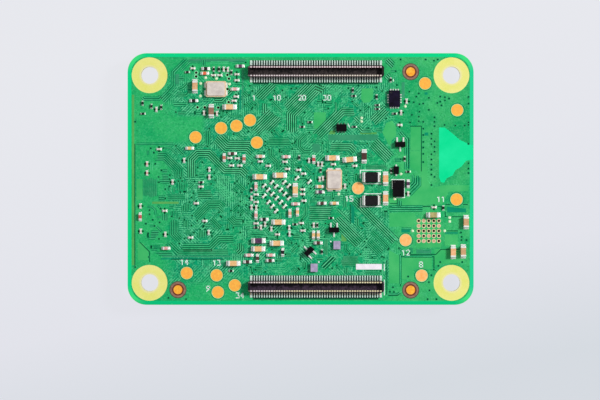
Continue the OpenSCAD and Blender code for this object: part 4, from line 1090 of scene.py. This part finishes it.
class Solids(Body):
    """Small closed bodies. Each has a place: its foot on the board, the direction of its length,
    and +1 or -1 for the side that it stands on."""

    def add(self, place, verts, faces):
        (x, y, z), (ux, uy), up = place
        start = len(self.verts)
        for a, b, c in verts:
            self.verts.append((x + a * ux - b * uy, y + a * uy + b * ux, z + up * c))
        for face in faces:
            ring = [start + i for i in face]
            self.faces.append(ring if up > 0 else ring[::-1])

    def box(self, place, lo, hi, edge):
        """A box with chamfered edges and corners."""
        corners, faces = [], []
        for i, signs in enumerate(product((0, 1), repeat=3)):
            outer = [(lo, hi)[s][k] for k, s in enumerate(signs)]
            inner = [p - edge if s else p + edge for p, s in zip(outer, signs)]
            for k in range(3):
                corners.append([outer[m] if m == k else inner[m] for m in range(3)])
            faces.append([3 * i, 3 * i + 1, 3 * i + 2][::1 if sum(signs) % 2 else -1])
        weight = (4, 2, 1)
        for k in range(3):
            m, n = (k + 1) % 3, (k + 2) % 3

            def corner(side, a, b, axis):
                return 3 * (weight[k] * side + weight[m] * a + weight[n] * b) + axis

            for side in (0, 1):
                ring = [corner(side, a, b, k) for a, b in ((0, 0), (1, 0), (1, 1), (0, 1))]
                faces.append(ring if side else ring[::-1])
            for a, b in product((0, 1), repeat=2):
                ring = [corner(0, a, b, m), corner(1, a, b, m), corner(1, a, b, n), corner(0, a, b, n)]
                faces.append(ring if a != b else ring[::-1])
        self.add(place, corners, faces)

    def fillet(self, place, start, reach, width, height, flare=1.0):
        """Solder that sweeps down from an end cap to its land and spreads a little."""
        verts = []
        for t, h, w in FILLET:
            a, b, c = start + t * reach, width / 2 * w * (1 + (flare - 1) * min(1, 2 * t)), height * h
            verts += [(a, -b, 0), (a, -b * 0.86, c), (a, b * 0.86, c), (a, b, 0)]
        last = len(verts) - 4
        faces = [(3, 2, 1, 0), range(last, last + 4)]
        for k in range(0, last, 4):
            faces += [(j, j + 1, j + 5, j + 4) for j in (k, k + 1, k + 2)] + [(k + 3, k, k + 4, k + 7)]
        self.add(place, verts, faces)

    def stack(self, place, *rings):
        """A closed body from outlines at rising heights, all with the same number of points."""
        n = len(rings[0][0])
        last = n * (len(rings) - 1)
        faces = [range(n)[::-1], range(last, last + n)]
        for k in range(0, last, n):
            faces += [(k + i, k + (i + 1) % n, k + n + (i + 1) % n, k + n + i) for i in range(n)]
        self.add(place, [(x, y, h) for ring, h in rings for x, y in ring], faces)


# How far from a header's middle the dark rows with its tails start
ROW_START = 0.95


def draw_header_lands():
    """The dark mask between a header's tails, a painted shadow along its lower side, and the tails' solder.
    """
    bare, shade, joints = Sheet(0.006), Sheet(0.005), {side: Solids() for side in "ab"}
    for side in "ab":
        lo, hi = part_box(f"header_{side}_contacts")
        x0, x1 = lo.x / MM - 0.3, hi.x / MM + 0.3
        y0, y1, middle = lo.y / MM, hi.y / MM, header_middle(side)
        for low, high in ((y0 - 0.04, middle - ROW_START), (middle + ROW_START, y1 + 0.04)):
            bare.plate(outline_of((x0, low, x1, high)))
        # Painted shadow: a dark strip of mask just beyond the lower tails.
        shade.plate(outline_of((x0 + 0.2, y0 - 0.34, x1 - 0.3, y0 - 0.04)))
        for contact in solids(f"header_{side}_contacts") + solids(f"header_{side}_tabs"):
            out = 1 if contact.at[1] > middle else -1
            end = contact.hi[1] if out > 0 else contact.lo[1]
            tail = contact.points[abs(contact.points[:, 1] - end) < 0.2]
            (left, _, _), (right, _, top) = tail.min(0), tail.max(0)
            half, thick = (right - left) / 2, top - TOP_Z
            place = ((right + left) / 2, end, TOP_Z), (0, out), 1
            joints[side].box(place, (-0.36, -half - 0.01, 0.0), (-0.02, half + 0.01, thick + 0.012), 0.01)
            joints[side].fillet(place, -0.03, 0.05, half * 2, thick)
    bare.piece("dark_header_rows", "mask_row")
    shade.piece("header_painted_shade", "mask_shade")
    for side, solder in joints.items():
        solder.piece(f"header_{side}_joints", "joint", "solder")


# Chip parts with their solder

def chips(body_name, end_name, reach):
    """Each chip of a family as the frame has it; outer is where its ends stop and reach how far
    the solder goes beyond them."""
    ends = solids(end_name)
    for body in solids(body_name):
        x, y, _ = body.at
        near = sorted(ends, key=lambda e: math.hypot(e.at[0] - x, e.at[1] - y))[:2]
        u = unit(near[0].at[:2], near[1].at[:2])
        u = u if u > (0, 0) else (-u[0], -u[1])

        def span(points, axis):
            t = (points[:, 0] - x) * axis[0] + (points[:, 1] - y) * axis[1]
            return t.min(), t.max()

        up = 1 if body.lo[2] >= TOP_Z - 0.2 else -1
        yield SimpleNamespace(
            foot=(x, y, body.lo[2] if up > 0 else body.hi[2]), u=u, up=up, reach=reach,
            ways=(u, (-u[0], -u[1])), slanted=min(abs(u[0]), abs(u[1])) > 0.3,
            inner=span(body.points, u)[1], half=span(body.points, (-u[1], u[0]))[1],
            h=body.hi[2] - body.lo[2],
            outer=max(abs(t) for e in near for t in span(e.points, u)) - reach)


LARGE_COLOURS = {
    "lilac": [(-16.8, 14.75)], "brown": [(-14.2, 10.8)],
    "peach": [(13.5, 0.05), (13.5, -3.05), (24.25, -11.6)], "bronze": [(25.85, -11.5), (26.25, -6.95)],
    "khaki": [(21.1, -5.72)], "dark_brown": [(10.1, 3.6)], "purple": [(-6.7, -9.8)],
}
MEDIUM_COLOURS = {
    "black": [(-17, 12.45), (-5.8, -6.4), (-2.85, -11.65), (-15.1, 17.55)],
    "red": [(2.1, 3.1), (-25.5, -5.9)], "orange_red": [(-15.25, 16.8)],
    "salmon": [(-12.15, 3.4), (-9, 3.2)], "purple": [(-9.6, 17.95), (3.1, -2.05), (17.1, -0.75)],
    "pink": [(-10.35, 14.3), (-2.3, 3.55), (-0.8, -3.95), (-8.2, -12.1), (-4.75, -12.1), (-21.4, -11),
     (-7.1, -1.1), (-7.1, -5.75)],
    "tan": [(-17.8, 4.9), (5.35, -3.85), (-0.5, -5.25), (2.05, -8.9), (2.8, -8.9), (3.05, -1.2)],
    "dark_brown": [(2.9, -10.15), (-10.85, 4.05), (3.4, -3.85), (-8.45, -13.15), (-4.85, -12.95),
     (-6.85, -12.6)],
}
SMALL_COLOURS = {"pink": [(-24.4, 2.4), (-24.4, 0.95)]}

# Stems of the pieces and of the nodes, solder's reach, plain colour and other ones; then the
# body's width, its height and how far it goes into the caps, the caps' width and how far they
# go over the body, and how much the solder spreads
FAMILIES = [
    ("large_chip", "large_chip", 0.3, "tan", LARGE_COLOURS, 0.96, 0.96, None, 1.0, 0.0, 1.0),
    ("medium_chip", "medium_chip", 0.2, "pink_tan", MEDIUM_COLOURS, 0.96, 0.96, None, 1.0, 0.06, 1.0),
    ("small_chip", "small_capacitor", 0.12, "pale", SMALL_COLOURS, 0.84, 0.96, None, 1.12, 0.0, 1.35),
    ("resistor", "resistor", 0.12, "black", {}, 0.99, 1.02, 0.08, 1.0, 0.0, 1.2),
    ("back_chip", "back_chip", 0.2, "tan", {}, 0.96, 0.96, None, 1.0, 0.0, 1.0),
]


def refine_chips():
    """Stands rounder chips with concave solder in the place of the plain ones."""
    for name, stem, reach, plain, colours, waist, top, lap, cap, over, flare in FAMILIES:
        bodies, caps = Solids(), Solids()
        keys, face_mats = ["chip_" + plain], []
        for chip in chips(stem + "_bodies", stem + "_ends", reach):
            edge = min(0.05, chip.h * 0.12)
            place = chip.foot, chip.u, chip.up
            x, y, z = chip.inner + (lap or edge), chip.half * waist, chip.h * top
            before = len(bodies.faces)
            bodies.box(place, (-x, -y, chip.h * 0.04), (x, y, z), edge * 0.6)
            key = "chip_white" if name == "small_chip" and chip.slanted else keys[0]
            for other, spots in colours.items():
                if listed(chip.foot, spots):
                    key = "chip_" + other
            if key not in keys:
                keys.append(key)
            face_mats += [keys.index(key)] * (len(bodies.faces) - before)
            wide = chip.half * cap
            for way in chip.ways:
                place = chip.foot, way, chip.up
                caps.box(place, (chip.inner - over, -wide, 0.0), (chip.outer, wide, chip.h), edge)
                caps.fillet(place, chip.outer - edge * 0.5, reach + edge * 0.5, wide * 2,
                            chip.h * 0.66, flare)
        slot, metal = ("resistor_film", "dull_caps") if name == "resistor" else ("capacitor_ceramic", "caps")
        bodies.piece(name + "_ceramics", keys, slot, stem + "_bodies", face_mats)
        caps.piece(name + "_terminals", metal, "end_caps", stem + "_ends")


# Larger parts

def rounded_ring(l, w, r, steps=4):
    """The points of a rounded rectangle, anticlockwise."""
    points = []
    for k, (sx, sy) in enumerate(((1, 1), (-1, 1), (-1, -1), (1, -1))):
        for i in range(steps + 1):
            a = math.pi / 2 * (k + i / steps)
            points.append((sx * (l / 2 - r) + r * math.cos(a), sy * (w / 2 - r) + r * math.sin(a)))
    return points


CORE_R = 0.32
CORE_EDGE = 0.12


def refine_inductors():
    """Cores with round corners and a dished top edge, and end clips that wrap round them."""
    for stem in ("inductor", "back_inductor"):
        cores, clips = Solids(), Solids()
        for chip in chips(stem + "_cores", stem + "_ends", 0.2):
            l, w, h = chip.inner * 2, chip.half * 2, chip.h
            body = rounded_ring(l, w, CORE_R)
            top = rounded_ring(l - 2 * CORE_EDGE, w - 2 * CORE_EDGE, CORE_R - CORE_EDGE * 0.6)
            cores.stack((chip.foot, chip.u, chip.up), (body, 0.0), (body, h - CORE_EDGE), (top, h))
            for way in chip.ways:
                place = chip.foot, way, chip.up
                clips.box(place, (chip.inner - 0.04, -w * 0.47, 0.0), (chip.outer, w * 0.47, h * 0.96), 0.04)
                clips.box(place, (chip.inner - 0.45, -w / 2, 0.0), (chip.outer - 0.05, w / 2, h * 0.3), 0.03)
                clips.fillet(place, chip.outer - 0.03, chip.reach + 0.03, w, h * 0.4)
        cores.piece(stem + "_cores_rounded", "ferrite", "inductor_ferrite", stem + "_cores")
        clips.piece(stem + "_ends_clips", "caps", "end_caps", stem + "_ends")


# Radius of the dimple on each flat chip, and the side that the chip is on
CHIP_TOPS = {
    "switch_chip": (0.16, 1), "regulator": (0.14, 1), "memory_chip": (0.5, -1), "flash_chip": (0.45, -1),
    "network_chip": (0.35, -1), "power_chip": (0.25, -1), "radio_chip": (0.3, -1),
}


def mark_chips():
    """The moulded dimple that shows contact one of each flat chip."""
    dimples = Sheet(0.006)
    for name, (r, up) in CHIP_TOPS.items():
        lo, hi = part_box(name)
        dimples.up, dimples.base = up, (hi.z if up > 0 else lo.z) / MM
        x, y = lo.x / MM + r * 2.2, hi.y / MM - r * 2.2
        dimples.disc(x, y, r, r * 0.7, 28)
        dimples.disc(x, y, r * 0.7, 0.0, 28, 0.002)
    dimples.piece("contact_one_dimples", "dimple", "chip_moulding")


# Component side

BACK_NODES = [
    "processor_substrate", "memory_chip", "flash_chip", "network_chip", "network_chip_lands",
    "power_chip", "power_chip_lands", "radio_can", "antenna_socket_base", "antenna_socket_ring",
    "status_leds", "status_led_ends", "back_inductor_cores", "back_inductor_ends",
    "back_chip_bodies", "back_chip_ends"]
BACK_PLANES = [
    (3.9, 1.2, 5.8, 8.2), (4.6, -9.2, 13.8, -7.8), (-26.0, -5.6, -25.2, -2.4), (13.9, -3.4, 19.2, -1.4),
    (-9.5, 14.8, 3.0, 16.6), (6.4, 15.2, 16.8, 17.4), (-14.0, -18.6, 2.0, -16.6), (5.0, -18.2, 14.0, -14.6),
]

# The place round the antenna with no copper, how far out loose vias go and how many are tried
BACK_CLEAR = (22.0, -0.6, 27.4, 8.2)
LOOSE_X, LOOSE_Y, LOOSE_TRIES = 26.4, 19.0, 2600

# How far the printed rectangle round each part is from it
FRAMES = {"processor_substrate": 0.3, "memory_chip": 0.3, "flash_chip": 0.3, "network_chip": 0.55,
          "power_chip": 0.55, "radio_can": 0.3}


def ink_frame(sheet, name, gap):
    """A printed rectangle round a part, with a dot by its first contact."""
    lo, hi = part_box(name)
    x0, y0, x1, y1 = lo.x / MM - gap, lo.y / MM - gap, hi.x / MM + gap, hi.y / MM + gap
    cut = min(x1 - x0, y1 - y0) * 0.12
    sheet.ribbon([(x0 + cut, y1), (x1, y1), (x1, y0), (x0, y0), (x0, y1 - cut)], 0.14)
    sheet.disc(x0 - 0.05, y1 + 0.05, 0.16)


def dress_back():
    rng = random.Random(23)
    grid = Grid(BACK_NODES, 0.2)
    plane, clear, gap, light, ring, eye, ink = (
        Sheet(height, -1) for height in (FIELD_H, FIELD_H, GAP_H, TRACE_H, VIA_H, EYE_H, INK_H))
    for box in BACK_PLANES:
        plane.plate(outline_of(box))
        grid.block_box(*box)
    for outline in FIELDS["bare_green"]:
        clear.plate(outline)
    grid.block_box(*BACK_CLEAR)
    for name, gap_mm in FRAMES.items():
        ink_frame(ink, name, gap_mm)
    for core in solids("back_inductor_cores"):
        (x0, y0, _), (x1, y1, _) = core.lo, core.hi
        for y in (y1 + 0.25, y0 - 0.25):
            ink.ribbon([(x0 - 0.45, y), (x1 + 0.45, y)], 0.12)
    vias = route(grid, rng, gap, light, BACK_TRIES)
    for _ in range(LOOSE_TRIES):
        x, y = rng.uniform(-LOOSE_X, LOOSE_X), rng.uniform(-LOOSE_Y, LOOSE_Y)
        if grid.free_at(x, y, 0.25):
            vias.append((x, y))
            grid.block_disc(x, y, 0.5)
    draw_vias(ring, eye, vias)
    for sheet, name, key in ((plane, "planes", "leaf"), (clear, "clear_area", "bare_green"),
                             (gap, "trace_gaps", "gap"), (light, "traces", "trace"),
                             (ring, "tented_vias", "via"), (eye, "via_eyes", "eye")):
        sheet.piece("back_" + name, "mask_" + key)
    ink.piece("back_printed_marks", "ink", None)


# Stage, in metres

FLOOR_HALF, FLOOR_BELOW = 1.2, 0.0002


def area_light(name, at, size_m, watts, colour):
    data = bpy.data.lights.new(name, "AREA")
    data.shape = "DISK"
    data.size = size_m
    data.energy = watts
    data.color = colour
    lamp = bpy.data.objects.new(name, data)
    lamp.location = at
    lamp.rotation_euler = (-Vector(at)).to_track_quat("-Z", "Y").to_euler()
    bpy.context.scene.collection.objects.link(lamp)


def build_stage():
    z = cad_box[0][2] - FLOOR_BELOW
    mesh = bpy.data.meshes.new("floor")
    corners = outline_of((-FLOOR_HALF, -FLOOR_HALF, FLOOR_HALF, FLOOR_HALF))
    mesh.from_pydata([(x, y, z) for x, y in corners], [], [(0, 1, 2, 3)])
    floor = bpy.data.objects.new("floor", mesh)
    bpy.context.scene.collection.objects.link(floor)
    # The floor glows: its emission is painted light, brighter towards the top and darker towards the bottom,
    # and it washes out the board's shadow; the paper's own colour is dark.
    s = Shader("floor_paper", specular=0.05, Roughness=0.9, Emission_Strength=1.0)
    x, y, _ = s.axes()
    painted_studio_light = s.ramp(s.remap(s.plus(y, s.times(x, -0.2)), -0.036, 0.026, 0.0, 1.0),
                  (0.0, (210, 215, 221)), (0.3, (223, 224, 231)), (0.6, (226, 227, 233)),
                  (1.0, (228, 229, 234)))
    paper = s.drift(s.noise(40, 2), (40, 41, 45), (44, 45, 49))
    s.show(Base_Color=paper, Emission_Color=painted_studio_light)
    mesh.materials.append(s.mat)

    world = bpy.data.worlds.new("studio")
    bpy.context.scene.world = world
    world.use_nodes = True
    back = world.node_tree.nodes["Background"]
    back.inputs["Color"].default_value = (0.96, 0.97, 1.0, 1)
    back.inputs["Strength"].default_value = 0.32
    area_light("key_light", (0.66, 0.26, 0.62), 0.22, 9.0, (1.0, 0.99, 0.97))
    area_light("fill_light", (-0.5, -0.2, 0.75), 0.6, 0.6, (0.95, 0.98, 1.0))


# Width of the photograph at the board, and the place that its middle shows
VIEW_W = 95.39 * MM
LOOK_X, LOOK_Y = -0.095 * MM, -3.337 * MM


def build_camera():
    data = bpy.data.cameras.new("camera")
    data.lens = 200
    data.sensor_width = 36
    away = VIEW_W * data.lens / data.sensor_width
    data.clip_start, data.clip_end = 0.01, 10
    camera = bpy.data.objects.new("camera", data)
    camera.location = (LOOK_X, LOOK_Y, TOP_Z * MM + away)
    bpy.context.scene.collection.objects.link(camera)
    bpy.context.scene.camera = camera


setup_materials()
dress_all()
draw_rings()
draw_header_lands()
draw_ink()
dress_top()
refine_chips()
refine_inductors()
mark_chips()
dress_back()
build_stage()
build_camera()
bpy.context.scene.view_settings.view_transform = "Standard"
